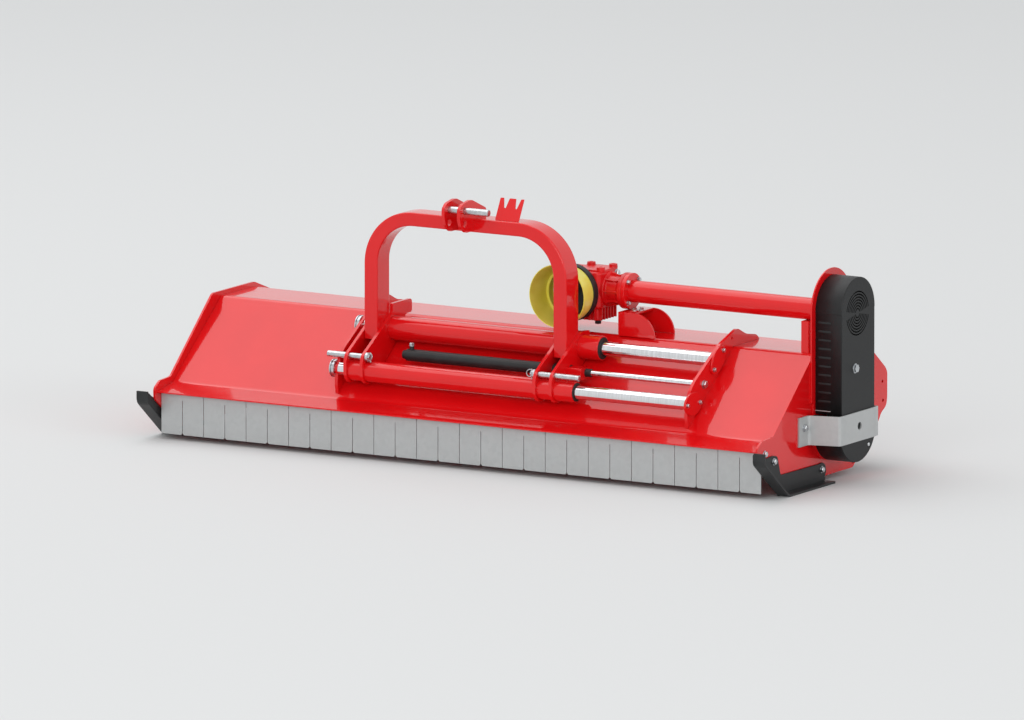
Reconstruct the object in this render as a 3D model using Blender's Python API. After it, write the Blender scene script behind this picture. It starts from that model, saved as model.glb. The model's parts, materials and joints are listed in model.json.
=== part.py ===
"""Rear-mounted side-shift flail mulcher for a tractor, in metres with +Z up.

X runs along the working width, +X at the belt drive. The tractor side is -Y.
Places are given from the casing's datum: X from the middle of the casing, Y from
the crease between lip and front panel, Z from the ground. One empty holds the datum.
"""
import bmesh
import bpy
from math import atan2, cos, hypot, pi, radians, sin
from mathutils import Vector

# Clearances
SEAT = 0.0003            # between pieces that touch
SWEEP = 0.004            # hitch plates above the front panel

# Casing
WORKING_WIDTH = 2.5
SHELL_THICK = 0.005
SIDE_THICK = 0.008
LIP = (-0.108, 0.1765)
CREASE = (0.0, 0.1955)
SHOULDER = (0.341, 0.4625)
TOP_REAR = (0.570, 0.4625)
HOOD_REAR = [(0.672, 0.4275), (0.730, 0.3875), (0.785, 0.335), (0.795, 0.200)]
SIDE_FRONT = [(-0.010, 0.2175), (-0.086, 0.2135), (-0.122, 0.1905), (-0.120, 0.150), (-0.060, 0.1055)]
SIDE_FOOT = [(0.050, 0.026), (0.100, 0.022), (0.564, 0.022), (0.597, 0.0536)]
SIDE_REAR = [(0.751, 0.165), (0.765, 0.188), (0.803, 0.210), (0.811, 0.237), (0.811, 0.333), (0.798, 0.351)]
SIDE_TOP = [(0.690, 0.437), (0.574, 0.479), (0.2835, 0.479)]
SIDE_HOLES = [(0.776, 0.3025), (0.780, 0.233), (0.564, 0.041)]
SIDE_HOLE_R = 0.006

# Front curtain
FLAP_PAIRS = 14
FLAP_GAP = 0.002
FLAP_THICK = 0.003
FLAP_BOTTOM = 0.020
FLAP_NOTCH = 0.006
ROD_R = 0.006
ROD_YZ = (-0.070, 0.165)
EYE_R = 0.0098

# Skids
SKID_THICK = 0.006
SKID_FLANGE = 0.050
SOLE_THICK = 0.008
SKID_LINE = [(-0.156, 0.1805), (-0.156, 0.1395), (0.021, 0.0), (0.3515, 0.0)]
SKID_ARM = [(0.018, 0.157), (0.035, 0.074)]
SKID_BUMP = (0.330, 0.044)
SKID_BUMP_R = 0.030
SKID_BOLTS = [(-0.005, 0.1305), (0.328, 0.050)]
BOLT_R = 0.011
BOLT_HEAD = 0.007

# Rotor
ROTOR_YZ = (0.400, 0.2075)
DRUM_R = 0.070
DRUM_FROM_SIDE = 0.060
STUB_R = 0.025
STUB_FROM_SIDE = 0.010
DISC_COUNT = 7
DISC_R = 0.118
DISC_THICK = 0.010
PIN_CIRCLE = 0.105
PIN_R = 0.007
BEARING_R = 0.055
BEARING_WIDTH = 0.045
HAMMER_LONG = 0.075
HAMMER_WIDE = 0.044
HAMMER_DEEP = 0.028
HAMMER_EYE = 0.013
ROW_ANGLES = (-90, 30, 150)

# Belt drive, on the outside of the right side plate
DRIVE_Z = 0.615
PLATE_THICK = 0.006
PLATE_TOP_R = 0.145
PLATE_RIM = 0.002
PLATE_STEP_Z = 0.300
COVER_TOP_Z = 0.6265
COVER_R = 0.120
COVER_DEEP = 0.108
COVER_WALL = 0.003
COVER_BOTTOM = 0.2605
GUARD_R = 0.132
GUARD_TOP = 0.2575
PULLEY_R = 0.090
PULLEY_WIDE = 0.044
PULLEY_STAND = 0.030
FLANGE_R = 0.098
RIM_WIDE = 0.032
BELT_THICK = 0.009
BRACKET_THICK = 0.006
BRACKET_OUT = 0.121
BRACKET_CLEAR = 0.0065
BRACKET_SPLAY = 0.029
BRACKET_FOOT = 0.066
BRACKET_Z = (0.153, 0.2595)
BRACKET_HOLE_R = 0.014

# Gearbox, its support and the drive tube
GEAR_X = 0.235
BOX_REACH = (0.085, 0.110)
BOX_HALF_DEEP = 0.070
BOX_Z = (0.505, 0.690)
CAVITY_HALF = (0.070, 0.055, 0.065)
BOX_BEVEL = 0.012
NECK_R = 0.056
NECK_END = 0.409
FLANGE_WIDE = 0.032
TUBE_FLANGE_R = 0.066
TUBE_R = 0.040
TUBE_WALL = 0.005
SHAFT_R = 0.0175
INPUT_START = 0.225
COLLAR_DEEP = 0.030
COLLAR_R = 0.104
COLLAR_BORE = 0.086
GUARD_DROP = 0.009
CONE_FRONT = 0.210
CONE_FRONT_R = 0.115
CONE_REAR_R = 0.100
CONE_WALL = 0.004
SUPPORT_THICK = 0.008
SUPPORT_X = (0.422, 0.487)
POST_FROM_SIDE = (0.091, 0.059)
POST_HALF = 0.040

# Bevel gears
CROWN_TEETH = 24
PINION_TEETH = 8
CROWN_R = 0.060
FACE_WIDE = 0.018
TOOTH_HIGH = 0.0032
TOOTH_DEEP = 0.0046
CROWN_BACK = 0.022

# Slide bars, their supports and the shift cylinder
LOWER_YZ = (0.036, 0.2995)
UPPER_YZ = (0.215, 0.4325)
CYLINDER_YZ = (0.130, 0.3555)
BAR_R = 0.025
CAP_R = 0.038
CAP_WIDE = 0.024
BAR_SUPPORT_THICK = 0.012
LEFT_SUPPORT_X = -0.575
RIGHT_SUPPORT_FROM_SIDE = 0.370
SUPPORT_TOE = 0.018
SUPPORT_EDGE = [(0.010, 0.2575), (0.034, 0.3425), (0.067, 0.3745), (0.240, 0.4805), (0.369, 0.5245),
                (0.433, 0.4945), (0.506, 0.4825)]
SUPPORT_HEEL = 0.529
ROD_SHAFT_R = 0.011
PISTON_R = 0.0175
PISTON_X = (0.250, 0.280)
BARREL_R = 0.022
BARREL_WALL = 0.004
BARREL_X = (-0.340, 0.428)
BARREL_CAP_R = 0.016
BARREL_CAP_DEEP = 0.015
GLAND_R = 0.0145
GLAND_DEEP = 0.025
CARRIER_WIDE = 0.063
CARRIER_Y = (0.092, 0.152)
CARRIER_Z = (0.332, 0.374)
ROD_NUT_R = 0.018
ROD_NUT_DEEP = 0.012

# Headstock
HEAD_X = -0.092
HITCH_OUT = 0.434
HITCH_THICK = 0.012
LEG_WIDE = 0.055
ARCH_Y = (0.115, 0.205)
ARCH_TOP = 0.8775
ARCH_BAR = 0.050
ARCH_BEND = 0.200
ARCH_WALL = 0.006
LEG_BOTTOM = 0.400
HITCH_FRONT = [(0.205, 0.4865), (0.0, 0.362), (-0.010, 0.335)]
HITCH_NOSE_R = 0.046
HITCH_STEP = 0.030
HITCH_REAR = [(0.262, 0.4056), (0.265, 0.440)]
HITCH_TOP = [(0.262, 0.4865)]
HITCH_EAR = [(0.300, 0.4725), (0.335, 0.4725), (0.340, 0.480), (0.340, 0.515), (0.330, 0.5225), (0.205, 0.5225)]
UPPER_SLEEVE_R = 0.044
LOWER_SLEEVE_R = 0.038
SLEEVE_LEFT = 0.0005
UPPER_SLEEVE_END = 0.425
LOWER_SLEEVE_END = 0.420
LINK_PIN_YZ = (0.018, 0.3540)
LINK_PIN_R = 0.011
LINK_PIN_OUT = {"left": 0.080, "right": 0.100}
LINK_HEAD_R = 0.017
LINK_HEAD_DEEP = 0.010
LUG_THICK = 0.012
LUG_HALF_GAP = 0.026
LUG_EDGE = [(0.060, 0.8335), (0.025, 0.860), (0.015, 0.890), (0.015, 0.925), (0.035, 0.9415), (0.075, 0.9415),
            (0.200, 0.895)]
LUG_FOOT = 0.8335
TOP_PIN_YZ = (0.052, 0.9145)
TOP_PIN_R = 0.0125
SPARE_HOLE_YZ = (0.052, 0.8675)
TOP_PIN_OUT = 0.100
HOLDER_X = (0.025, 0.122)
HOLDER_FOOT_Y = 0.130
HOLDER_LEAN = 0.040
HOLDER_HIGH = 0.0757
HOLDER_THICK = 0.005
PRONG_BASE = 0.030
PRONG_WIDE = 0.017

# Facets of round pieces
SHAFT_SIDES = 24
SMALL_SIDES = 12

# Values worked out from those above
INNER_X = WORKING_WIDTH / 2
OUTER_X = INNER_X + SIDE_THICK
DRUM_END = INNER_X - DRUM_FROM_SIDE
STUB_LEFT = INNER_X - STUB_FROM_SIDE
POST_X = (INNER_X - POST_FROM_SIDE[0], INNER_X - POST_FROM_SIDE[1])
RIGHT_SUPPORT_X = INNER_X - RIGHT_SUPPORT_FROM_SIDE
SHELL_LINE = [LIP, CREASE, SHOULDER, TOP_REAR] + HOOD_REAR
BACK_X = (OUTER_X + SEAT, OUTER_X + SEAT + PLATE_THICK)
COVER_X = (BACK_X[1] + SEAT, BACK_X[1] + SEAT + COVER_DEEP)
PULLEY_X = (BACK_X[1] + PULLEY_STAND, BACK_X[1] + PULLEY_STAND + PULLEY_WIDE)
DRIVE_YZ = (ROTOR_YZ[0], DRIVE_Z)
BOX_FRONT = ROTOR_YZ[0] - BOX_HALF_DEEP
COLLAR_Y = (BOX_FRONT - SEAT - COLLAR_DEEP, BOX_FRONT - SEAT)
CONE_REAR = COLLAR_Y[0] - SEAT
TUBE_X = (NECK_END + FLANGE_WIDE + SEAT, BACK_X[0] - SEAT)
PINION_R = CROWN_R * PINION_TEETH / CROWN_TEETH
RIGHT_SUPPORT_OUT = RIGHT_SUPPORT_X + BAR_SUPPORT_THICK
LEG_OUT = HITCH_OUT - HITCH_THICK - SEAT
HITCH_INNER = LEG_OUT - LEG_WIDE - SEAT
ROD_YZ_BACK = ROD_YZ[0] - EYE_R
SKID_OUT = OUTER_X + SEAT + SKID_FLANGE
RIGHT_REACH = OUTER_X + SEAT + BRACKET_OUT
FRONT_REACH = SKID_LINE[0][0]
REAR_REACH = max(point[0] for point in SIDE_REAR)
DATUM = (-(RIGHT_REACH - SKID_OUT) / 2, -(FRONT_REACH + REAR_REACH) / 2, 0.0)

FINISHES = {
    "red_paint": ((0.72, 0.012, 0.018), 0.18, 0.0),
    "black_paint": ((0.022, 0.022, 0.022), 0.45, 0.0),
    "black_plastic": ((0.020, 0.020, 0.021), 0.50, 0.0),
    "galvanised": ((0.42, 0.43, 0.43), 0.45, 0.8),
    "zinc_plate": ((0.68, 0.69, 0.70), 0.28, 1.0),
    "chrome": ((0.80, 0.80, 0.81), 0.08, 1.0),
    "steel": ((0.33, 0.32, 0.31), 0.45, 1.0),
    "yellow_plastic": ((0.75, 0.66, 0.09), 0.40, 0.0),
    "belt_rubber": ((0.015, 0.015, 0.015), 0.80, 0.0),
}

empties = {}
materials = {}


def clear_scene():
    """Remove the default scene's objects."""
    for item in list(bpy.data.objects):
        bpy.data.objects.remove(item, do_unlink=True)


def make_materials():
    """One Principled material for each finish."""
    for name, (colour, roughness, metallic) in FINISHES.items():
        finish = bpy.data.materials.new(name)
        finish.use_nodes = True
        shader = finish.node_tree.nodes["Principled BSDF"]
        shader.inputs["Base Color"].default_value = (*colour, 1.0)
        shader.inputs["Roughness"].default_value = roughness
        shader.inputs["Metallic"].default_value = metallic
        materials[name] = finish


def make_empty(name, place, parent=None):
    """An empty for a moving body, at its joint's point in the datum's frame."""
    empty = bpy.data.objects.new(name, None)
    bpy.context.scene.collection.objects.link(empty)
    above = empties.get(parent)
    if above:
        empty.parent = above["object"]
        empty.location = Vector(place) - above["place"]
        place = Vector(place)
    else:
        empty.location = Vector(DATUM)
        place = Vector((0.0, 0.0, 0.0))
    empties[name] = {"object": empty, "place": place}


def place_mesh(name, shape, frame, finish, guide=False):
    """Turn a bmesh in datum coordinates into an object under its body's empty."""
    bmesh.ops.remove_doubles(shape, verts=shape.verts, dist=1e-6)
    bmesh.ops.recalc_face_normals(shape, faces=shape.faces)
    holder = empties[frame]
    bmesh.ops.translate(shape, verts=shape.verts, vec=-holder["place"])
    mesh = bpy.data.meshes.new(name)
    shape.to_mesh(mesh)
    shape.free()
    mesh.shade_smooth()
    mesh.set_sharp_from_angle(angle=radians(32))
    item = bpy.data.objects.new(name, mesh)
    bpy.context.scene.collection.objects.link(item)
    item.parent = holder["object"]
    mesh.materials.append(materials[finish])
    if guide:
        item.hide_render = True
        item.display_type = "WIRE"
    return item


def guide_of(shape, frame):
    """A hidden tool for a Boolean, numbered so that each has its own name."""
    return place_mesh(f"guide_{len(bpy.data.objects):03d}", shape, frame, "steel", guide=True)


def add_boolean(item, tool, operation):
    """Join or cut an object with a hidden tool."""
    modifier = item.modifiers.new(operation.lower(), "BOOLEAN")
    modifier.operation = operation
    modifier.solver = "EXACT"
    modifier.object = tool


def cut(item, *shapes, frame="casing_datum"):
    """Cut shapes out of an object."""
    for shape in shapes:
        add_boolean(item, guide_of(shape, frame), "DIFFERENCE")
    return item


def join(item, *shapes, frame="casing_datum"):
    """Weld shapes onto an object."""
    for shape in shapes:
        add_boolean(item, guide_of(shape, frame), "UNION")
    return item


def prism(outline, low, high, axis="X"):
    """A flat outline carried straight along an axis. Along X it is (Y, Z), along Y (X, Z), along Z (X, Y)."""
    shape = bmesh.new()
    rings = []
    for level in (low, high):
        rings.append([shape.verts.new(lift(point, level, axis)) for point in outline])
    bottom, top = rings
    count = len(outline)
    shape.faces.new(bottom)
    shape.faces.new(top)
    for i in range(count):
        j = (i + 1) % count
        shape.faces.new((bottom[i], bottom[j], top[j], top[i]))
    return shape


def lift(point, level, axis):
    """A flat point at a level along an axis, as a point in space."""
    first, second = point
    if axis == "X":
        return (level, first, second)
    if axis == "Y":
        return (first, level, second)
    return (first, second, level)


def box(x, y, z):
    """A rectangular block between three pairs of limits."""
    return prism([(y[0], z[0]), (y[1], z[0]), (y[1], z[1]), (y[0], z[1])], x[0], x[1])


def turned(profile, centre, axis="X", sides=SHAFT_SIDES, ring=False):
    """A profile of (place along the axis, radius) turned about the axis. A ring's profile closes on itself."""
    shape = bmesh.new()
    rows = []
    for level, radius in profile:
        if radius == 0.0:
            rows.append([shape.verts.new(lift(centre, level, axis))])
            continue
        row = []
        for i in range(sides):
            turn = 2 * pi * (i + 0.5) / sides
            flat = (centre[0] + radius * cos(turn), centre[1] + radius * sin(turn))
            row.append(shape.verts.new(lift(flat, level, axis)))
        rows.append(row)
    pairs = list(zip(rows, rows[1:]))
    if ring:
        pairs.append((rows[-1], rows[0]))
    for first, second in pairs:
        for i in range(sides):
            j = (i + 1) % sides
            if len(first) == 1:
                shape.faces.new((first[0], second[i], second[j]))
            elif len(second) == 1:
                shape.faces.new((first[i], second[0], first[j]))
            else:
                shape.faces.new((first[i], second[i], second[j], first[j]))
    return shape


def rod(x, centre, radius, axis="X", sides=SHAFT_SIDES):
    """A plain round bar between two places along its axis."""
    return turned([(x[0], 0.0), (x[0], radius), (x[1], radius), (x[1], 0.0)], centre, axis, sides)


def bore_of(radius, sides=SHAFT_SIDES):
    """Radius of a faceted bore whose flats clear a shaft by the seat gap."""
    return (radius + SEAT) / cos(pi / sides)


def bore(x, centre, radius, axis="X", sides=SHAFT_SIDES):
    """A cutter for a bore that clears a shaft of this radius, cut past both faces."""
    return rod((x[0] - 0.002, x[1] + 0.002), centre, bore_of(radius, sides), axis, sides)


def arc(centre, radius, start, end, steps):
    """Points of an arc, its angles in degrees from the first axis towards the second."""
    points = []
    for i in range(steps + 1):
        turn = radians(start + (end - start) * i / steps)
        points.append((centre[0] + radius * cos(turn), centre[1] + radius * sin(turn)))
    return points


def offset_line(points, distance):
    """A line moved to its right-hand side by a distance, with mitred corners."""
    moved = []
    for i, point in enumerate(points):
        normals = []
        for a, b in ((i - 1, i), (i, i + 1)):
            if a >= 0 and b < len(points):
                along = (points[b][0] - points[a][0], points[b][1] - points[a][1])
                length = hypot(*along)
                normals.append((along[1] / length, -along[0] / length))
        middle = (sum(n[0] for n in normals) / len(normals), sum(n[1] for n in normals) / len(normals))
        scale = distance / (middle[0] ** 2 + middle[1] ** 2)
        moved.append((point[0] + middle[0] * scale, point[1] + middle[1] * scale))
    return moved


def sheet(points, thickness):
    """The closed outline of a bent sheet whose outer line is given, with the sheet on its right."""
    return points + offset_line(points, thickness)[::-1]


def on_line(line, y):
    """Height of a line of (Y, Z) points at a given Y."""
    for (y0, z0), (y1, z1) in zip(line, line[1:]):
        if y0 <= y <= y1:
            return z0 + (z1 - z0) * (y - y0) / (y1 - y0)
    raise ValueError("outside the line")


def build_casing():
    """Bent shell with the tube's post, two side plates, the two skids and the rotor bearings."""
    shell_x = (-INNER_X + SEAT, INNER_X - SEAT)
    shell = place_mesh("casing_shell", prism(sheet(SHELL_LINE, SHELL_THICK), *shell_x), "casing_datum", "red_paint")
    post_y = (ROTOR_YZ[0] - POST_HALF, ROTOR_YZ[0] + POST_HALF)
    post_z = (TOP_REAR[1] - SHELL_THICK / 2, DRIVE_Z - TUBE_R - SEAT)
    join(shell, box(POST_X, post_y, post_z))
    outline = SIDE_FRONT + SIDE_FOOT + SIDE_REAR + SIDE_TOP
    for name, side in (("left", -1), ("right", 1)):
        faces = sorted((side * INNER_X, side * OUTER_X))
        plate = place_mesh(f"{name}_side_plate", prism(outline, *faces), "casing_datum", "red_paint")
        past = (faces[0] - 0.002, faces[1] + 0.002)
        for hole in SIDE_HOLES:
            cut(plate, rod(past, hole, SIDE_HOLE_R, sides=SMALL_SIDES))
        if side > 0:
            cut(plate, rod(past, ROTOR_YZ, STUB_R + 0.003))
        build_skid(name, side)
        build_bearing(name, side)
    rod_x = (-INNER_X + SEAT, INNER_X - SEAT)
    place_mesh("curtain_rod", rod(rod_x, ROD_YZ, ROD_R, sides=SMALL_SIDES), "casing_datum", "zinc_plate")


def build_skid(name, side):
    """Web bolted outside a side plate, with a sole that runs up the front as one bent flange."""
    inner = side * (OUTER_X + SEAT)
    outer = side * (OUTER_X + SEAT + SKID_THICK)
    bump = arc(SKID_BUMP, SKID_BUMP_R, -40, 110, 6)
    web = SKID_LINE + bump + SKID_ARM[::-1]
    web.append((SKID_ARM[0][0], SKID_LINE[0][1]))
    skid = place_mesh(f"{name}_skid", prism(web, *sorted((inner, outer))), "casing_datum", "black_paint")
    sole = sheet(SKID_LINE[::-1], SOLE_THICK)
    join(skid, prism(sole, *sorted((side * (OUTER_X + SEAT + SKID_THICK / 2), side * SKID_OUT))))
    head_x = (side * (OUTER_X + SEAT + SKID_THICK / 2), outer + side * BOLT_HEAD)
    for bolt in SKID_BOLTS:
        join(skid, rod(sorted(head_x), bolt, BOLT_R, sides=6))


def build_bearing(name, side):
    """Flanged bearing housing on the inner face of a side plate, round the rotor's stub."""
    far = side * (INNER_X - SEAT)
    near = side * (INNER_X - SEAT - BEARING_WIDTH)
    low, high = sorted((near, far))
    step = far - side * BEARING_WIDTH / 3
    profile = [(near, bore_of(STUB_R)), (near, BEARING_R * 0.8), (step, BEARING_R * 0.8),
               (step, BEARING_R), (far, BEARING_R), (far, bore_of(STUB_R))]
    place_mesh(f"{name}_rotor_bearing", turned(profile, ROTOR_YZ, ring=True), "casing_datum", "steel")


def build_curtain():
    """Pairs of galvanised flaps, each pair rolled round the curtain rod at its top edge."""
    pitch = (WORKING_WIDTH - 2 * SEAT) / FLAP_PAIRS
    front = ROD_YZ[0] - EYE_R
    outer = [(front, FLAP_BOTTOM), (front, ROD_YZ[1])] + arc(ROD_YZ, EYE_R, 180, -90, 9)[1:]
    for i in range(FLAP_PAIRS):
        low = -INNER_X + SEAT + i * pitch + FLAP_GAP / 2
        high = low + pitch - FLAP_GAP
        frame = f"flap_{i + 1:02d}_axis"
        make_empty(frame, (low, *ROD_YZ), "casing_datum")
        flap = place_mesh(f"flap_pair_{i + 1:02d}", prism(sheet(outer, FLAP_THICK), low, high), frame, "galvanised")
        middle = (low + high) / 2
        slit_top = ROD_YZ[1] - EYE_R * 2
        slit = [(middle - FLAP_GAP / 2 - FLAP_NOTCH, FLAP_BOTTOM - 0.001),
                (middle + FLAP_GAP / 2 + FLAP_NOTCH, FLAP_BOTTOM - 0.001),
                (middle + FLAP_GAP / 2, FLAP_BOTTOM + FLAP_NOTCH),
                (middle + FLAP_GAP / 2, slit_top), (middle - FLAP_GAP / 2, slit_top),
                (middle - FLAP_GAP / 2, FLAP_BOTTOM + FLAP_NOTCH)]
        cut(flap, prism(slit, front - 0.004, ROD_YZ[0], axis="Y"))


def build_rotor():
    """Drum with pin discs, three rods of hammers through the discs, and the lower pulley."""
    make_empty("rotor_axis", (0.0, *ROTOR_YZ), "casing_datum")
    end = PULLEY_X[1] + 0.004
    profile = [(-STUB_LEFT, 0.0), (-STUB_LEFT, STUB_R), (-DRUM_END, STUB_R), (-DRUM_END, DRUM_R)]
    discs = disc_places()
    for place in discs:
        low, high = place - DISC_THICK / 2, place + DISC_THICK / 2
        profile += [(low, DRUM_R), (low, DISC_R), (high, DISC_R), (high, DRUM_R)]
    profile += [(DRUM_END, DRUM_R), (DRUM_END, STUB_R), (end, STUB_R), (end, 0.0)]
    drum = place_mesh("rotor_drum", turned(profile, ROTOR_YZ), "rotor_axis", "black_paint")
    for number, angle in enumerate(ROW_ANGLES, 1):
        pin = arc(ROTOR_YZ, PIN_CIRCLE, angle, angle, 1)[0]
        span = (discs[0] - DISC_THICK, discs[-1] + DISC_THICK)
        cut(drum, rod(span, pin, bore_of(PIN_R, 8), sides=8))
        build_hammers(number, pin, discs)
    place_mesh("lower_pulley", pulley(STUB_R, ROTOR_YZ), "rotor_axis", "steel")


def disc_places():
    """Places of the pin discs along the drum."""
    reach = DRUM_END - DISC_THICK
    return [reach * (2 * i / (DISC_COUNT - 1) - 1) for i in range(DISC_COUNT)]


def build_hammers(number, pin, discs):
    """One rod with two hammers in each bay between discs, hanging straight down."""
    frame = f"hammer_row_{number}_axis"
    make_empty(frame, (0.0, *pin), "rotor_axis")
    span = (discs[0] - DISC_THICK, discs[-1] + DISC_THICK)
    row = place_mesh(f"hammer_row_{number}", rod(span, pin, PIN_R, sides=8), frame, "steel")
    depth = (pin[0] - HAMMER_DEEP / 2, pin[0] + HAMMER_DEEP / 2)
    height = (pin[1] - HAMMER_LONG, pin[1] + HAMMER_EYE)
    for low, high in zip(discs, discs[1:]):
        for share in (0.27, 0.73):
            middle = low + (high - low) * share
            join(row, box((middle - HAMMER_WIDE / 2, middle + HAMMER_WIDE / 2), depth, height))


def pulley(shaft_radius, centre):
    """Turned pulley with two flanges beside the belt's rim."""
    low, high = PULLEY_X
    wall = (PULLEY_WIDE - RIM_WIDE) / 2
    profile = [(low, bore_of(shaft_radius)), (low, FLANGE_R), (low + wall, FLANGE_R), (low + wall, PULLEY_R),
               (high - wall, PULLEY_R), (high - wall, FLANGE_R), (high, FLANGE_R), (high, bore_of(shaft_radius))]
    return turned(profile, centre, ring=True)


def upright_outline(radius, foot_radius, top_z, step_z=None):
    """Outline round both pulleys: an arc above, straight sides and an arc below."""
    top = (DRIVE_YZ[0], top_z)
    points = arc(top, radius, 0, 180, 14)
    if step_z:
        points += [(top[0] - radius, step_z), (top[0] - foot_radius, step_z)]
    points += arc(ROTOR_YZ, foot_radius, 180, 360, 14)
    if step_z:
        points += [(top[0] + foot_radius, step_z), (top[0] + radius, step_z)]
    return points


def build_belt_drive():
    """Back plate, belt, upper cover, lower guard and the bracket across them."""
    outline = upright_outline(PLATE_TOP_R, GUARD_R + PLATE_RIM, COVER_TOP_Z, PLATE_STEP_Z)
    plate = place_mesh("drive_back_plate", prism(outline, *BACK_X), "casing_datum", "red_paint")
    cut(plate, bore(BACK_X, DRIVE_YZ, SHAFT_R), bore(BACK_X, ROTOR_YZ, STUB_R))
    build_belt()
    build_cover()
    build_guard()
    build_bracket()


def build_belt():
    """The belt as one closed band round both pulleys."""
    inner = PULLEY_R + SEAT
    wall = (PULLEY_WIDE - RIM_WIDE) / 2 + SEAT
    span = (PULLEY_X[0] + wall, PULLEY_X[1] - wall)
    inner /= cos(pi / 28)
    band = place_mesh("drive_belt", prism(upright_outline(inner + BELT_THICK, inner + BELT_THICK, DRIVE_Z), *span),
                      "casing_datum", "belt_rubber")
    past = (span[0] - 0.002, span[1] + 0.002)
    cut(band, prism(upright_outline(inner, inner, DRIVE_Z), *past))


def build_cover():
    """Round-topped cover, open below and towards the back plate."""
    top = (DRIVE_YZ[0], COVER_TOP_Z)
    outline = arc(top, COVER_R, 0, 180, 14) + [(top[0] - COVER_R, COVER_BOTTOM), (top[0] + COVER_R, COVER_BOTTOM)]
    hollow_r = COVER_R - COVER_WALL
    hollow = arc(top, hollow_r, 0, 180, 14)
    hollow += [(top[0] - hollow_r, COVER_BOTTOM - 0.002), (top[0] + hollow_r, COVER_BOTTOM - 0.002)]
    cover = place_mesh("belt_cover", prism(outline, *COVER_X), "casing_datum", "black_plastic")
    cut(cover, prism(hollow, COVER_X[0] - 0.002, COVER_X[1] - COVER_WALL))


def build_guard():
    """Round guard under the lower pulley, open above and towards the back plate."""
    side = DRIVE_YZ[0]
    outline = arc(ROTOR_YZ, GUARD_R, 180, 360, 14) + [(side + GUARD_R, GUARD_TOP), (side - GUARD_R, GUARD_TOP)]
    hollow_r = GUARD_R - COVER_WALL
    hollow = arc(ROTOR_YZ, hollow_r, 180, 360, 14)
    hollow += [(side + hollow_r, GUARD_TOP + 0.002), (side - hollow_r, GUARD_TOP + 0.002)]
    guard = place_mesh("lower_belt_guard", prism(outline, *COVER_X), "casing_datum", "black_plastic")
    cut(guard, prism(hollow, COVER_X[0] - 0.002, COVER_X[1] - COVER_WALL))


def build_bracket():
    """Bent strap with splayed arms, bolted to the side plate in front of and behind the belt drive."""
    near = OUTER_X + SEAT
    far = near + BRACKET_OUT
    corner = GUARD_R + BRACKET_CLEAR
    levels = [(near + BRACKET_THICK, corner + BRACKET_SPLAY + BRACKET_FOOT),
              (near + BRACKET_THICK, corner + BRACKET_SPLAY), (far, corner)]
    line = [(x, ROTOR_YZ[0] - away) for x, away in levels] + [(x, ROTOR_YZ[0] + away) for x, away in levels[::-1]]
    outline = sheet(line[::-1], BRACKET_THICK)
    bracket = place_mesh("guard_bracket", prism(outline, *BRACKET_Z, axis="Z"), "casing_datum", "galvanised")
    cut(bracket, rod((far - 0.02, far + 0.01), ROTOR_YZ, BRACKET_HOLE_R, sides=SMALL_SIDES))


def tooth_ring(teeth, radius, depth, along, scale, turn):
    """One ring of tooth corners of a bevel gear, shrunk towards the cone's tip by a scale."""
    slant = atan2(radius, depth)
    points = []
    for tooth in range(teeth):
        for share, height in ((-0.27, -TOOTH_DEEP), (-0.13, TOOTH_HIGH), (0.13, TOOTH_HIGH), (0.27, -TOOTH_DEEP)):
            angle = 2 * pi * (tooth + share) / teeth + turn
            far = scale * (radius + height * cos(slant))
            deep = scale * (depth - height * sin(slant))
            points.append(along(far * cos(angle), far * sin(angle), deep))
    return points


def loft(rings, closed):
    """A skin over rings with equal numbers of points. Open lofts get a flat cap at each end."""
    shape = bmesh.new()
    rows = [[shape.verts.new(point) for point in ring] for ring in rings]
    pairs = list(zip(rows, rows[1:]))
    if closed:
        pairs.append((rows[-1], rows[0]))
    else:
        shape.faces.new(rows[0])
        shape.faces.new(rows[-1])
    for first, second in pairs:
        for i in range(len(first)):
            j = (i + 1) % len(first)
            shape.faces.new((first[i], second[i], second[j], first[j]))
    return shape


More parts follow.
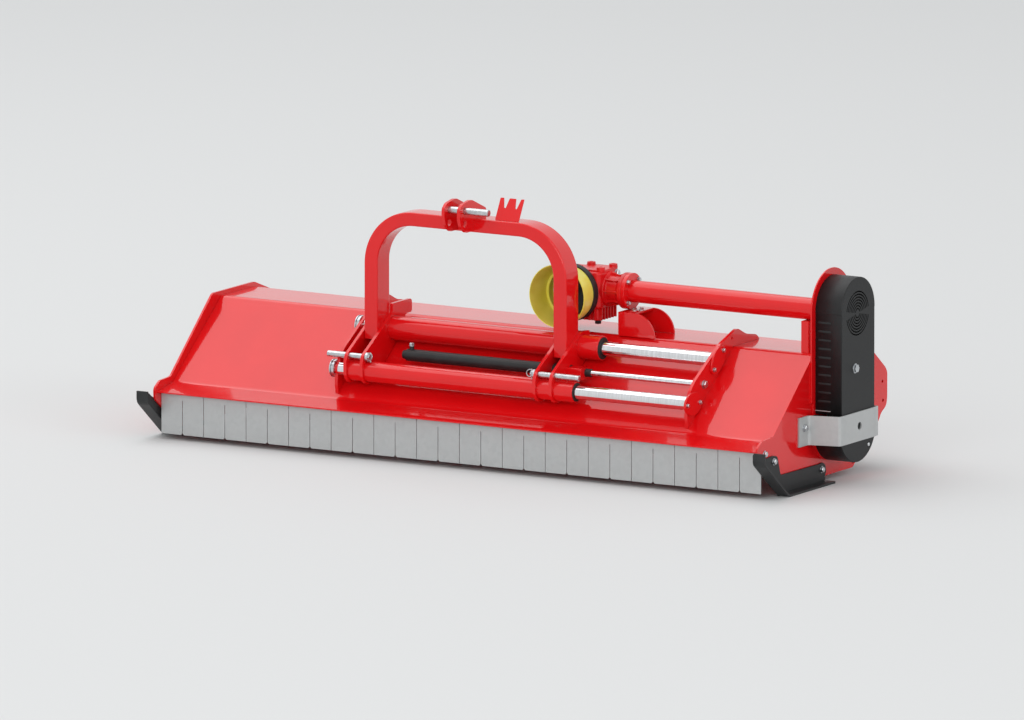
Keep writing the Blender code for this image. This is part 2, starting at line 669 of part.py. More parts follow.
def build_gear_train():
    """Input shaft with its crown wheel, and the cross shaft with its pinion and upper pulley."""
    make_empty("input_axis", (GEAR_X, 0.0, DRIVE_Z), "casing_datum")
    make_empty("cross_axis", (0.0, *DRIVE_YZ), "casing_datum")
    apex = Vector((GEAR_X, ROTOR_YZ[0], DRIVE_Z))
    shrink = 1 - FACE_WIDE / hypot(CROWN_R, PINION_R)

    def crown_point(across, up, deep):
        return apex + Vector((across, -deep, up))

    def pinion_point(across, up, deep):
        return apex + Vector((deep, -across, up))

    def plain_ring(point, teeth, radius, deep):
        return [point(radius * cos(2 * pi * (i + 0.5) / teeth / 4), radius * sin(2 * pi * (i + 0.5) / teeth / 4), deep)
                for i in range(4 * teeth)]

    core = SHAFT_R / 2
    outer = tooth_ring(CROWN_TEETH, CROWN_R, PINION_R, crown_point, 1.0, 0.0)
    inner = tooth_ring(CROWN_TEETH, CROWN_R, PINION_R, crown_point, shrink, 0.0)
    face_deep = shrink * PINION_R + 0.004
    back_deep = PINION_R + CROWN_BACK
    crown = loft([plain_ring(crown_point, CROWN_TEETH, core, face_deep), inner, outer,
                  plain_ring(crown_point, CROWN_TEETH, CROWN_R * 0.6, back_deep),
                  plain_ring(crown_point, CROWN_TEETH, core, back_deep)], closed=True)
    shaft_end = ROTOR_YZ[0] - face_deep + 0.002
    shaft = place_mesh("input_shaft", rod((INPUT_START, shaft_end), (GEAR_X, DRIVE_Z), SHAFT_R, axis="Y"),
                       "input_axis", "steel")
    join(shaft, crown)
    half_tooth = pi / PINION_TEETH
    rings = [tooth_ring(PINION_TEETH, PINION_R, CROWN_R, pinion_point, shrink, half_tooth),
             tooth_ring(PINION_TEETH, PINION_R, CROWN_R, pinion_point, 1.0, half_tooth),
             plain_ring(pinion_point, PINION_TEETH, SHAFT_R, CROWN_R + 0.008),
             plain_ring(pinion_point, PINION_TEETH, SHAFT_R, PULLEY_X[1] + 0.004 - GEAR_X)]
    place_mesh("cross_shaft", loft(rings, closed=False), "cross_axis", "steel")
    place_mesh("upper_pulley", pulley(SHAFT_R, DRIVE_YZ), "cross_axis", "steel")


def build_gearbox():
    """Cast housing with its neck, the tube to the belt drive, the shaft guard and the support on the casing."""
    centre = (GEAR_X, ROTOR_YZ[0])
    x = (GEAR_X - BOX_REACH[0], GEAR_X + BOX_REACH[1])
    y = (BOX_FRONT, centre[1] + BOX_HALF_DEEP)
    corner = BOX_BEVEL
    plan = [(x[0] + corner, y[0]), (x[1] - corner, y[0]), (x[1], y[0] + corner), (x[1], y[1] - corner),
            (x[1] - corner, y[1]), (x[0] + corner, y[1]), (x[0], y[1] - corner), (x[0], y[0] + corner)]
    housing = place_mesh("gearbox_housing", prism(plan, *BOX_Z, axis="Z"), "casing_datum", "red_paint")
    neck = [(x[1] - 0.004, 0.0), (x[1] - 0.004, NECK_R), (NECK_END, NECK_R), (NECK_END, TUBE_FLANGE_R),
            (NECK_END + FLANGE_WIDE, TUBE_FLANGE_R), (NECK_END + FLANGE_WIDE, 0.0)]
    join(housing, turned(neck, DRIVE_YZ))
    hollow = [(c - h, c + h) for c, h in zip((GEAR_X, ROTOR_YZ[0], DRIVE_Z), CAVITY_HALF)]
    cut(housing, box(*hollow))
    shaft_line = (GEAR_X, DRIVE_Z)
    cut(housing, rod((y[0] - 0.01, centre[1]), shaft_line, bore_of(SHAFT_R), axis="Y"))
    cut(housing, rod((GEAR_X, NECK_END + FLANGE_WIDE + 0.01), DRIVE_YZ, bore_of(SHAFT_R, 32), sides=32))
    tube = [(TUBE_X[0], TUBE_R - TUBE_WALL), (TUBE_X[0], TUBE_R), (TUBE_X[1], TUBE_R), (TUBE_X[1], TUBE_R - TUBE_WALL)]
    place_mesh("cross_shaft_tube", turned(tube, DRIVE_YZ, ring=True), "casing_datum", "red_paint")
    guard_line = (GEAR_X, DRIVE_Z - GUARD_DROP)
    collar = [(COLLAR_Y[0], COLLAR_BORE), (COLLAR_Y[0], COLLAR_R), (COLLAR_Y[1], COLLAR_R), (COLLAR_Y[1], COLLAR_BORE)]
    place_mesh("pto_guard_collar", turned(collar, guard_line, "Y", ring=True), "casing_datum", "black_plastic")
    cone = [(CONE_FRONT, CONE_FRONT_R - CONE_WALL), (CONE_FRONT, CONE_FRONT_R), (CONE_REAR, CONE_REAR_R),
            (CONE_REAR, CONE_REAR_R - CONE_WALL)]
    place_mesh("pto_guard_cone", turned(cone, guard_line, "Y", ring=True), "casing_datum", "yellow_plastic")
    build_support()


def build_support():
    """Two upright plates with round right ends, a base and a saddle between them under the neck's flange."""
    floor = TOP_REAR[1] + SEAT
    top = DRIVE_Z - TUBE_FLANGE_R - SEAT
    front = BOX_FRONT - SUPPORT_THICK / 2
    rear = ROTOR_YZ[0] + BOX_HALF_DEEP - SUPPORT_THICK / 2
    between = (BOX_FRONT, ROTOR_YZ[0] + BOX_HALF_DEEP)
    base = box(SUPPORT_X, between, (floor, floor + SUPPORT_THICK))
    support = place_mesh("gearbox_support", base, "casing_datum", "red_paint")
    web = [(SUPPORT_X[0], floor), (SUPPORT_X[0], top)] + arc((SUPPORT_X[1], floor), top - floor, 90, 0, 8)
    for low in (front, rear):
        join(support, prism(web, low, low + SUPPORT_THICK, axis="Y"))
    join(support, box(SUPPORT_X, between, (top - SUPPORT_THICK, top)))


def build_slide():
    """Fan-shaped supports on the front panel, the two chromed bars and the shift cylinder's rod."""
    seat = offset_line(SHELL_LINE, -SEAT)
    toe = (SUPPORT_TOE, on_line(seat, SUPPORT_TOE))
    heel = (SUPPORT_HEEL, on_line(seat, SUPPORT_HEEL))
    outline = [toe] + SUPPORT_EDGE + [heel, seat[2]]
    for name, low in (("left", LEFT_SUPPORT_X), ("right", RIGHT_SUPPORT_X)):
        faces = (low, low + BAR_SUPPORT_THICK)
        plate = place_mesh(f"{name}_bar_support", prism(outline, *faces), "casing_datum", "red_paint")
        cut(plate, bore(faces, LOWER_YZ, BAR_R), bore(faces, UPPER_YZ, BAR_R))
        if name == "right":
            cut(plate, bore(faces, CYLINDER_YZ, ROD_SHAFT_R, sides=SMALL_SIDES))
    left = LEFT_SUPPORT_X - SEAT
    right = RIGHT_SUPPORT_OUT + SEAT
    for name, axis_yz in (("lower", LOWER_YZ), ("upper", UPPER_YZ)):
        profile = [(left - CAP_WIDE, 0.0), (left - CAP_WIDE, CAP_R), (left, CAP_R), (left, BAR_R),
                   (right, BAR_R), (right, CAP_R), (right + CAP_WIDE, CAP_R), (right + CAP_WIDE, 0.0)]
        place_mesh(f"{name}_slide_bar", turned(profile, axis_yz), "casing_datum", "chrome")
    profile = [(PISTON_X[0], 0.0), (PISTON_X[0], PISTON_R), (PISTON_X[1], PISTON_R), (PISTON_X[1], ROD_SHAFT_R),
               (right, ROD_SHAFT_R), (right, ROD_NUT_R), (right + ROD_NUT_DEEP, ROD_NUT_R), (right + ROD_NUT_DEEP, 0.0)]
    place_mesh("cylinder_rod", turned(profile, CYLINDER_YZ, sides=SMALL_SIDES), "casing_datum", "chrome")


def arch_outline(shrink):
    """The inverted U of the headstock in (X, Z), drawn in from its faces by a wall."""
    out = LEG_OUT - shrink
    within = LEG_OUT - LEG_WIDE + shrink
    top = ARCH_TOP - shrink
    under = ARCH_TOP - ARCH_BAR + shrink
    bend = ARCH_BEND - shrink
    inner_bend = ARCH_BEND - LEG_WIDE + shrink
    foot = LEG_BOTTOM - shrink
    points = [(HEAD_X + out, foot)] + arc((HEAD_X + out - bend, top - bend), bend, 0, 90, 8)
    points += arc((HEAD_X - out + bend, top - bend), bend, 90, 180, 8) + [(HEAD_X - out, foot)]
    points += [(HEAD_X - within, foot)]
    points += arc((HEAD_X - within + inner_bend, under - inner_bend), inner_bend, 180, 90, 8)
    points += arc((HEAD_X + within - inner_bend, under - inner_bend), inner_bend, 90, 0, 8)
    return points + [(HEAD_X + within, foot)]


def build_headstock():
    """Arch, hitch plates, sleeves, top lugs, pins, hose holder and the cylinder's barrel."""
    make_empty("headstock_frame", (HEAD_X, *LOWER_YZ), "casing_datum")
    frame = "headstock_frame"
    arch = place_mesh("headstock_arch", prism(arch_outline(0.0), *ARCH_Y, axis="Y"), frame, "red_paint")
    inside = (ARCH_Y[0] + ARCH_WALL, ARCH_Y[1] - ARCH_WALL)
    cut(arch, prism(arch_outline(ARCH_WALL), *inside, axis="Y"))
    reach = (HEAD_X - HITCH_OUT, HEAD_X + HITCH_OUT)
    cut(arch, rod(reach, UPPER_YZ, bore_of(UPPER_SLEEVE_R)))
    build_hitch_plates(frame)
    ends = {"upper": (UPPER_YZ, UPPER_SLEEVE_R, UPPER_SLEEVE_END), "lower": (LOWER_YZ, LOWER_SLEEVE_R, LOWER_SLEEVE_END)}
    for name, (axis_yz, radius, end) in ends.items():
        start = HEAD_X - HITCH_OUT - SLEEVE_LEFT
        profile = [(start, bore_of(BAR_R)), (start, radius), (end, radius), (end, bore_of(BAR_R))]
        place_mesh(f"{name}_sleeve", turned(profile, axis_yz, ring=True), frame, "red_paint")
    build_lugs(arch)
    build_pins(frame)
    build_holder(frame)
    build_barrel(frame)


def hitch_outline(ear):
    """Outline of a hitch plate: sloping front edge, round nose, lower edge clear of the front panel."""
    clear = offset_line(SHELL_LINE, -SWEEP)
    nose = arc(LOWER_YZ, HITCH_NOSE_R, 180, 270, 5)
    step = HITCH_NOSE_R + HITCH_STEP
    low = (step, on_line(clear, step))
    rear = [(HITCH_REAR[0][0], on_line(clear, HITCH_REAR[0][0])), HITCH_REAR[1]]
    return HITCH_FRONT + nose + [low] + rear + (HITCH_EAR if ear else HITCH_TOP)


def build_hitch_plates(frame):
    """Two plates about each leg, bored for the sleeves and the lower link pins."""
    outer = (HITCH_OUT - HITCH_THICK, HITCH_OUT)
    inner = (HITCH_INNER - HITCH_THICK, HITCH_INNER)
    for side_name, side in (("left", -1), ("right", 1)):
        for place_name, span in (("outer", outer), ("inner", inner)):
            faces = sorted((HEAD_X + side * span[0], HEAD_X + side * span[1]))
            ear = side < 0 and place_name == "inner"
            plate = place_mesh(f"{side_name}_{place_name}_hitch_plate", prism(hitch_outline(ear), *faces),
                               frame, "red_paint")
            if side > 0 and place_name == "outer":
                add_carrier(plate, faces[1])
            cut(plate, bore(faces, UPPER_YZ, UPPER_SLEEVE_R), bore(faces, LOWER_YZ, LOWER_SLEEVE_R),
                bore(faces, LINK_PIN_YZ, LINK_PIN_R, sides=SMALL_SIDES))
            if side > 0:
                cut(plate, bore(faces, CYLINDER_YZ, BARREL_R))


def add_carrier(plate, face):
    """Block on the right outer plate that carries the cylinder's gland."""
    end = face + CARRIER_WIDE
    join(plate, box((face - HITCH_THICK / 2, end), CARRIER_Y, CARRIER_Z))
    cut(plate, bore((face, end), CYLINDER_YZ, GLAND_R))


def build_lugs(arch):
    """The pair of top link lugs, welded on the front and the top of the arch."""
    notch_y = ARCH_Y[0] + ARCH_WALL / 2
    floor = ARCH_TOP - ARCH_WALL / 2
    outline = [(notch_y, LUG_FOOT)] + LUG_EDGE + [(LUG_EDGE[-1][0], floor), (notch_y, floor)]
    for side in (-1, 1):
        near, far = HEAD_X + side * LUG_HALF_GAP, HEAD_X + side * (LUG_HALF_GAP + LUG_THICK)
        join(arch, prism(outline, *sorted((near, far))))
    span = (HEAD_X - LUG_HALF_GAP - LUG_THICK, HEAD_X + LUG_HALF_GAP + LUG_THICK)
    cut(arch, bore(span, TOP_PIN_YZ, TOP_PIN_R, sides=SMALL_SIDES),
        bore(span, SPARE_HOLE_YZ, TOP_PIN_R, sides=SMALL_SIDES))


def build_pins(frame):
    """Top link pin and the two lower link pins, each with its head."""
    lug_out = LUG_HALF_GAP + LUG_THICK
    left = HEAD_X - lug_out - SEAT
    top = [(left - LINK_HEAD_DEEP, 0.0), (left - LINK_HEAD_DEEP, LINK_HEAD_R), (left, LINK_HEAD_R), (left, TOP_PIN_R),
           (HEAD_X + lug_out + TOP_PIN_OUT, TOP_PIN_R), (HEAD_X + lug_out + TOP_PIN_OUT, 0.0)]
    place_mesh("top_link_pin", turned(top, TOP_PIN_YZ, sides=SMALL_SIDES), frame, "zinc_plate")
    inner = HITCH_INNER - HITCH_THICK - SEAT
    for name, side in (("left", -1), ("right", 1)):
        end = HITCH_OUT + LINK_PIN_OUT[name]
        levels = [(inner - LINK_HEAD_DEEP, 0.0), (inner - LINK_HEAD_DEEP, LINK_HEAD_R), (inner, LINK_HEAD_R),
                  (inner, LINK_PIN_R), (end, LINK_PIN_R), (end, 0.0)]
        profile = [(HEAD_X + side * level, radius) for level, radius in levels]
        place_mesh(f"{name}_lower_link_pin", turned(profile, LINK_PIN_YZ, sides=SMALL_SIDES), frame, "zinc_plate")


def build_holder(frame):
    """Comb of three prongs on the arch that leans back and holds the hydraulic hoses."""
    low, high = HOLDER_X
    span = (high - low - PRONG_WIDE) / 2
    floor = ARCH_TOP + SEAT
    top = floor + HOLDER_HIGH
    base = floor + PRONG_BASE
    outline = [(low, floor), (high, floor)]
    for i in (2, 1, 0):
        left = low + i * span
        outline += [(left + PRONG_WIDE, base), (left + PRONG_WIDE, top), (left, top), (left, base)]
    shape = prism(outline, HOLDER_FOOT_Y, HOLDER_FOOT_Y + HOLDER_THICK, axis="Y")
    for vert in shape.verts:
        vert.co.y += HOLDER_LEAN * (vert.co.z - floor) / HOLDER_HIGH
    place_mesh("hose_holder", shape, frame, "red_paint")


def build_barrel(frame):
    """Shift cylinder's barrel, held in the right hitch plates, hollow up to its gland."""
    low, high = BARREL_X
    end = HEAD_X + HITCH_OUT
    hollow = BARREL_R - BARREL_WALL
    gland = bore_of(ROD_SHAFT_R, SMALL_SIDES)
    profile = [(low - BARREL_CAP_DEEP, 0.0), (low - BARREL_CAP_DEEP, BARREL_CAP_R), (low, BARREL_CAP_R),
               (low, BARREL_R), (end, BARREL_R), (end, GLAND_R), (high, GLAND_R), (high, gland),
               (end - GLAND_DEEP, gland), (end - GLAND_DEEP, hollow), (low + GLAND_DEEP, hollow),
               (low + GLAND_DEEP, 0.0)]
    place_mesh("cylinder_barrel", turned(profile, CYLINDER_YZ), frame, "black_paint")


def main():
    """Build every piece of the mulcher."""
    clear_scene()
    make_materials()
    make_empty("casing_datum", DATUM)
    build_casing()
    build_curtain()
    build_rotor()
    build_belt_drive()
    build_gear_train()
    build_gearbox()
    build_slide()
    build_headstock()


main()
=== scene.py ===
"""Visual model of the side-shift mulcher: its surfaces, its finishes, a studio and a camera.

Places are given as in the model itself: X from the middle of the casing, Y from the
crease between lip and front panel, Z from the ground, in metres.
"""
import json

import bmesh
import bpy
import numpy as np
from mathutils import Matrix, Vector

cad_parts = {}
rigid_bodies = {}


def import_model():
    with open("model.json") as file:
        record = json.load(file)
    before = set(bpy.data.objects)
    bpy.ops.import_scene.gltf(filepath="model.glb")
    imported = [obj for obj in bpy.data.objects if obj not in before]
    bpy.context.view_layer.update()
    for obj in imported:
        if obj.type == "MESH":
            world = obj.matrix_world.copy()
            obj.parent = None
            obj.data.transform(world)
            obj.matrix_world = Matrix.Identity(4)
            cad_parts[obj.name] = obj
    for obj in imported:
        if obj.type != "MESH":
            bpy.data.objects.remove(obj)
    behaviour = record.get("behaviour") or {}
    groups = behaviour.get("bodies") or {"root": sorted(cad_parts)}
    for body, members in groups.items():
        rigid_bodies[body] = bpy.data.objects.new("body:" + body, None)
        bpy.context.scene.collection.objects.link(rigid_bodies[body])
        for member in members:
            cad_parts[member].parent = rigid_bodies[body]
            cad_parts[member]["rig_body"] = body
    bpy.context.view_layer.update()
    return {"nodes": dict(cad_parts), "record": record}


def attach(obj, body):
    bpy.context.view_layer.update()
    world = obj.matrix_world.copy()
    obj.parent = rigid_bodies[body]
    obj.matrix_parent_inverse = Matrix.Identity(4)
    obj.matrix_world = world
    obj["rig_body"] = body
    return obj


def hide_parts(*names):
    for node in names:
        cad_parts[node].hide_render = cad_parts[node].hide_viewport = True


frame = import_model()
slot_of = {part["node"]: part["material_slot"] for part in frame["record"]["subparts"]}

# From the model's own places to the frame's
DATUM = np.array([-0.0355, -0.3275, 0.0])
# Gap between pieces that lie on each other
SEAT = 0.0003
# The machine's sides and the way that each lies along X
SIDES = (("left", -1), ("right", 1))

# Casing: half widths inside and outside, thickness of the skids' webs, and the hood's folded line as
# (Y, Z) from lip to rear
INNER_X = 1.25
OUTER_X = 1.258
SKID_WEB = 0.006
SHELL_LINE = [(-0.108, 0.1765), (0.0, 0.1955), (0.341, 0.4625), (0.570, 0.4625), (0.672, 0.4275),
              (0.730, 0.3875), (0.785, 0.335), (0.795, 0.200)]

# Middles of shafts, bars and pins as (Y, Z)
ROTOR_YZ = (0.400, 0.2075)
DRIVE_YZ = (0.400, 0.615)
ROD_YZ = (-0.070, 0.165)
LOWER_YZ = (0.036, 0.2995)
UPPER_YZ = (0.215, 0.4325)
CYLINDER_YZ = (0.130, 0.3555)
LINK_PIN_YZ = (0.018, 0.354)
TOP_PIN_YZ = (0.052, 0.9145)

# Slide bars and the plates that carry them
BAR_R = 0.025
BAR_BORE = 0.0254
SUPPORT_X = {"left": -0.575, "right": 0.880}
SUPPORT_PLATE = 0.012

# Headstock: its middle, its hitch plates as distances from there, and the top of its arch
HEAD_X = -0.092
HITCH_X = {"outer": 0.422, "inner": 0.3541}
HITCH_PLATE = 0.012
ARCH_TOP = 0.8775

# Gearbox: its middle along the casing, the top of its support, and where its neck meets the drive tube
GEAR_X = 0.235
SADDLE_Z = 0.5487
NECK_END = 0.4249
TUBE_START = 0.4252
FLANGE_R = 0.066

# Belt drive: the plate behind it, the moulded cover and lower guard, and the strap across them
BACK_X = (OUTER_X + SEAT, OUTER_X + SEAT + 0.006)
COVER_X = (BACK_X[1] + SEAT, BACK_X[1] + SEAT + 0.108)
COVER_TOP_Z = 0.6265
COVER_R = 0.120
COVER_BOTTOM = 0.2605
GUARD_TOP = 0.2575
GUARD_R = 0.132
MOULDED_WALL = 0.003
MOULDED_EDGE = 0.0035
STRAP = 0.006

# Flat washer under a bolt head, and the least fold in degrees that is shown as an edge
WASHER = 0.0016
SHARP_FOLD = 34


def corner_arc(centre, radius, start, end, steps):
    """Points on a circle, centre + radius * (cos, sin), from one angle to another in degrees."""
    turn = np.radians(np.linspace(start, end, steps + 1))
    return np.stack([centre[0] + radius * np.cos(turn), centre[1] + radius * np.sin(turn)], 1)


def circle(centre, radius, sides=40):
    """A round hole's outline."""
    return corner_arc(centre, radius, 0, 360, sides)[:-1]


def oblong(across, up):
    """A rectangle's outline from its two spans."""
    return [(across[0], up[0]), (across[1], up[0]), (across[1], up[1]), (across[0], up[1])]


def hoop(span, inner, outer):
    """Section of a plain ring or bar as (level, radius): out from the inner radius, along, and back in."""
    return [(span[0], inner), (span[0], outer), (span[1], outer), (span[1], inner)]


def soften(points, radius, closed=False, steps=5):
    """Rounds the corners of a flat line.

    Each corner becomes a parabola that starts a radius before it and ends a radius after it,
    or at nearly half of a side that is short.
    """
    points = np.asarray(points, float)
    count = len(points)
    share = np.linspace(0.0, 1.0, steps + 1)[:, None]
    pieces = []
    for i in range(count):
        if not closed and i in (0, count - 1):
            pieces.append(points[i:i + 1])
            continue
        before, here, after = points[i - 1], points[i], points[(i + 1) % count]
        back, ahead = before - here, after - here
        reach = min(radius, 0.45 * np.linalg.norm(back), 0.45 * np.linalg.norm(ahead))
        start = here + back / np.linalg.norm(back) * reach
        end = here + ahead / np.linalg.norm(ahead) * reach
        pieces.append((1 - share) ** 2 * start + 2 * share * (1 - share) * here + share ** 2 * end)
    return np.concatenate(pieces)


def spread(flat, level, axis):
    """Flat points at a level along an axis, as points in space.

    They are read as (Y, Z) for the X axis, as (X, Z) for Y and as (X, Y) for Z.
    """
    flat = np.asarray(flat, float)
    level = np.broadcast_to(np.asarray(level, float), flat.shape[:1])
    columns = {"X": (level, flat[:, 0], flat[:, 1]), "Y": (flat[:, 0], level, flat[:, 1]),
               "Z": (flat[:, 0], flat[:, 1], level)}[axis]
    return np.stack(columns, 1)


def grid_faces(rows, columns, wrap_rows=False, wrap_columns=True):
    """Four-sided faces between neighbours of a grid of points, worked out as whole arrays."""
    r = np.arange(rows if wrap_rows else rows - 1)[:, None]
    c = np.arange(columns if wrap_columns else columns - 1)[None, :]
    r2, c2 = (r + 1) % rows, (c + 1) % columns
    faces = np.stack([r * columns + c, r * columns + c2, r2 * columns + c2, r2 * columns + c], -1)
    return faces.reshape(-1, 4).tolist()


def turned(profile, axis, centre, sides=64, ring=False):
    """A profile of (level, radius) turned about an axis: centre + radius * (cos, sin) at each level."""
    profile = np.asarray(profile, float)
    turn = 2 * np.pi * np.arange(sides) / sides
    rim = np.stack([np.cos(turn), np.sin(turn)], 1)
    flat = np.asarray(centre, float) + profile[:, 1, None, None] * rim
    levels = np.repeat(profile[:, 0], sides)
    return spread(flat.reshape(-1, 2), levels, axis), grid_faces(len(profile), sides, wrap_rows=ring)


def shaft(span, centre, radius, axis="X", edge=0.001, sides=48):
    """A round bar with softened ends: a turned line that starts and ends on the axis."""
    return turned(soften(hoop(span, 0.0, radius), edge), axis, centre, sides)


def inset(outline, distance):
    """A closed outline drawn inwards by a distance along its mitred normals."""
    before, after = np.roll(outline, 1, 0) - outline, np.roll(outline, -1, 0) - outline
    before /= np.linalg.norm(before, axis=1, keepdims=True)
    after /= np.linalg.norm(after, axis=1, keepdims=True)
    edge_in = np.stack([before[:, 1], -before[:, 0]], 1)
    edge_out = np.stack([-after[:, 1], after[:, 0]], 1)
    normal = edge_in + edge_out
    normal /= np.maximum(np.sum(normal * normal, 1, keepdims=True) / 2, 1e-3)
    ahead = np.roll(outline, -1, 0)
    twice_area = np.sum(outline[:, 0] * ahead[:, 1] - ahead[:, 0] * outline[:, 1])
    return outline + normal * distance * np.sign(twice_area)


def slab(outline, low, high, axis, edge=0.0015):
    """An outline carried along an axis, and drawn in along a quarter circle at both ends."""
    outline = np.asarray(outline, float)
    quarter = np.radians([0.0, 30.0, 60.0, 90.0])
    along, inward = edge * (1 - np.sin(quarter)), edge * (1 - np.cos(quarter))
    rings = [spread(inset(outline, deep), low + way, axis) for way, deep in zip(along[::-1], inward[::-1])]
    rings += [spread(inset(outline, deep), high - way, axis) for way, deep in zip(along, inward)]
    count = len(outline)
    faces = grid_faces(len(rings), count)
    faces.append(list(range(count)))
    faces.append(list(range(len(rings) * count - 1, (len(rings) - 1) * count - 1, -1)))
    return np.concatenate(rings), faces


def pierced(outline, holes, low, high, axis):
    """A plate with holes: its outlines filled with triangles between them, carried along an axis."""
    loops = [np.asarray(loop, float) for loop in [outline] + list(holes)]
    work = bmesh.new()
    for loop in loops:
        corners = [work.verts.new((a, b, 0.0)) for a, b in loop]
        for first, second in zip(corners, corners[1:] + corners[:1]):
            work.edges.new((first, second))
    bmesh.ops.triangle_fill(work, use_beauty=True, use_dissolve=False, edges=work.edges[:])
    work.verts.index_update()
    cap = [[corner.index for corner in face.verts] for face in work.faces]
    work.free()
    flat = np.concatenate(loops)
    count = len(flat)
    faces = cap + [[corner + count for corner in face][::-1] for face in cap]
    start = 0
    for loop in loops:
        here = start + np.arange(len(loop))
        after = np.roll(here, -1)
        faces += np.stack([here, after, after + count, here + count], 1).tolist()
        start += len(loop)
    return np.concatenate([spread(flat, low, axis), spread(flat, high, axis)]), faces


def offset(line, distance):
    """An open line moved to its right by a distance along mitred normals."""
    line = np.asarray(line, float)
    along = np.diff(line, axis=0)
    along /= np.linalg.norm(along, axis=1, keepdims=True)
    right = np.stack([along[:, 1], -along[:, 0]], 1)
    normal = np.concatenate([right[:1], (right[:-1] + right[1:]) / 2, right[-1:]])
    return line + distance * normal / np.sum(normal * normal, 1, keepdims=True)


def thick(line, thickness):
    """Outline of a bent strip: an open line, and back along its offset."""
    return np.concatenate([line, offset(line, thickness)[::-1]])


def bent_sheet(line, thickness, low, high, axis, bend, edge=0.0008):
    """A sheet folded along a line with softened bends, carried along an axis."""
    return slab(thick(soften(line, bend, steps=6), thickness), low, high, axis, edge)


def aimed(shape, place, direction):
    """A shape made along +Z, turned so that its +Z lies along a direction, then carried to a place."""
    turn = np.array(Vector(direction).to_track_quat("Z", "Y").to_matrix())
    return shape[0] @ turn.T + np.asarray(place, float), shape[1]


def bolts(places, direction, across, height):
    """Hexagon heads on washers, all facing one way: a chamfered six-sided turned line and a flat disc."""
    radius, top = across / np.sqrt(3), WASHER + height
    head = [(WASHER, 0.0), (WASHER, radius), (WASHER + height * 0.85, radius), (top, radius * 0.84),
            (top, 0.0)]
    washer = hoop((0.0, WASHER), 0.0, across * 0.68)
    both = [turned(head, "Z", (0, 0), 6), turned(washer, "Z", (0, 0), 24)]
    return [aimed(shape, place, direction) for place in places for shape in both]


def build_mesh(name, shapes):
    """Puts shapes into one mesh, closes their poles and turns their faces outwards."""
    points, faces, start = [], [], 0
    for shape_points, shape_faces in shapes:
        points.append(shape_points + DATUM)
        faces += [[start + corner for corner in face] for face in shape_faces]
        start += len(shape_points)
    mesh = bpy.data.meshes.new(name)
    mesh.from_pydata(np.concatenate(points).tolist(), [], faces)
    work = bmesh.new()
    work.from_mesh(mesh)
    bmesh.ops.remove_doubles(work, verts=work.verts, dist=1e-6)
    bmesh.ops.dissolve_degenerate(work, edges=work.edges, dist=1e-7)
    bmesh.ops.recalc_face_normals(work, faces=work.faces)
    work.to_mesh(mesh)
    work.free()
    return mesh


def new_object(name, data):
    """An object of a mesh, a lamp or a camera, linked to the scene."""
    item = bpy.data.objects.new(name, data)
    bpy.context.scene.collection.objects.link(item)
    return item


def show(name, mesh, body, slot, replaces, finish=None):
    """Makes an object of a finished mesh that rides on a body and stands for CAD nodes."""
    mesh.shade_smooth()
    mesh.set_sharp_from_angle(angle=np.radians(SHARP_FOLD))
    item = new_object(name, mesh)
    mesh.materials.clear()
    mesh.materials.append(finish or FINISH_OF[slot])
    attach(item, body)
    if replaces:
        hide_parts(*replaces)
    return item


def round_edges(item, width):
    """Rounds the edges of plates by a Bevel that only takes the sharp ones."""
    bevel = item.modifiers.new("rounded_edges", "BEVEL")
    bevel.width = width
    bevel.segments = 2
    bevel.limit_method = "ANGLE"
    bevel.angle_limit = np.radians(36)
    bevel.harden_normals = True


def piece(name, shapes, body, slot, replaces=(), edge=0.0, finish=None):
    """A new piece from one or several shapes, with rounded edges where a width is given."""
    shapes = shapes if isinstance(shapes, list) else [shapes]
    item = show(name, build_mesh(name, shapes), body, slot, replaces, finish)
    if edge:
        round_edges(item, edge)
    else:
        weighted = item.modifiers.new("face_weighted_normals", "WEIGHTED_NORMAL")
        weighted.keep_sharp = True
    return item


def dressed(node, edge):
    """A merged copy of a CAD node with rounded edges, for plates and turned parts whose shape is right."""
    original = frame["nodes"][node]
    mesh = original.data.copy()
    work = bmesh.new()
    work.from_mesh(mesh)
    bmesh.ops.remove_doubles(work, verts=work.verts, dist=1e-5)
    bmesh.ops.dissolve_limit(work, angle_limit=np.radians(0.6), verts=work.verts, edges=work.edges)
    work.to_mesh(mesh)
    work.free()
    item = show(f"{node}_finished", mesh, original["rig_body"], slot_of[node], (node,))
    round_edges(item, edge)


def linear(code):
    """An sRGB hex colour as linear red, green, blue and alpha."""
    parts = np.array([int(code[i:i + 2], 16) for i in (0, 2, 4)]) / 255
    parts = np.where(parts <= 0.04045, parts / 12.92, ((parts + 0.055) / 1.055) ** 2.4)
    return (*parts.tolist(), 1.0)


def per_metre(width):
    """A pattern's Scale: how many marks of a width in millimetres lie side by side in a metre."""
    return 1000 / width


def add_node(tree, kind, links=(), sockets=None, **settings):
    """Adds a node, sets its properties and its own sockets, and links (socket, from node, from socket)."""
    item = tree.nodes.new(kind)
    for name, value in settings.items():
        setattr(item, name, value)
    for name, value in (sockets or {}).items():
        item.inputs[name].default_value = value
    for socket, source, output in links:
        tree.links.new(source.outputs[output], item.inputs[socket])
    return item


def new_finish(name, sockets):
    """A material with a Principled shader whose plain values are set on its own sockets."""
    finish = bpy.data.materials.new(name)
    finish.use_nodes = True
    shader = finish.node_tree.nodes["Principled BSDF"]
    for label, value in sockets.items():
        shader.inputs[label].default_value = value
    return finish, finish.node_tree, shader


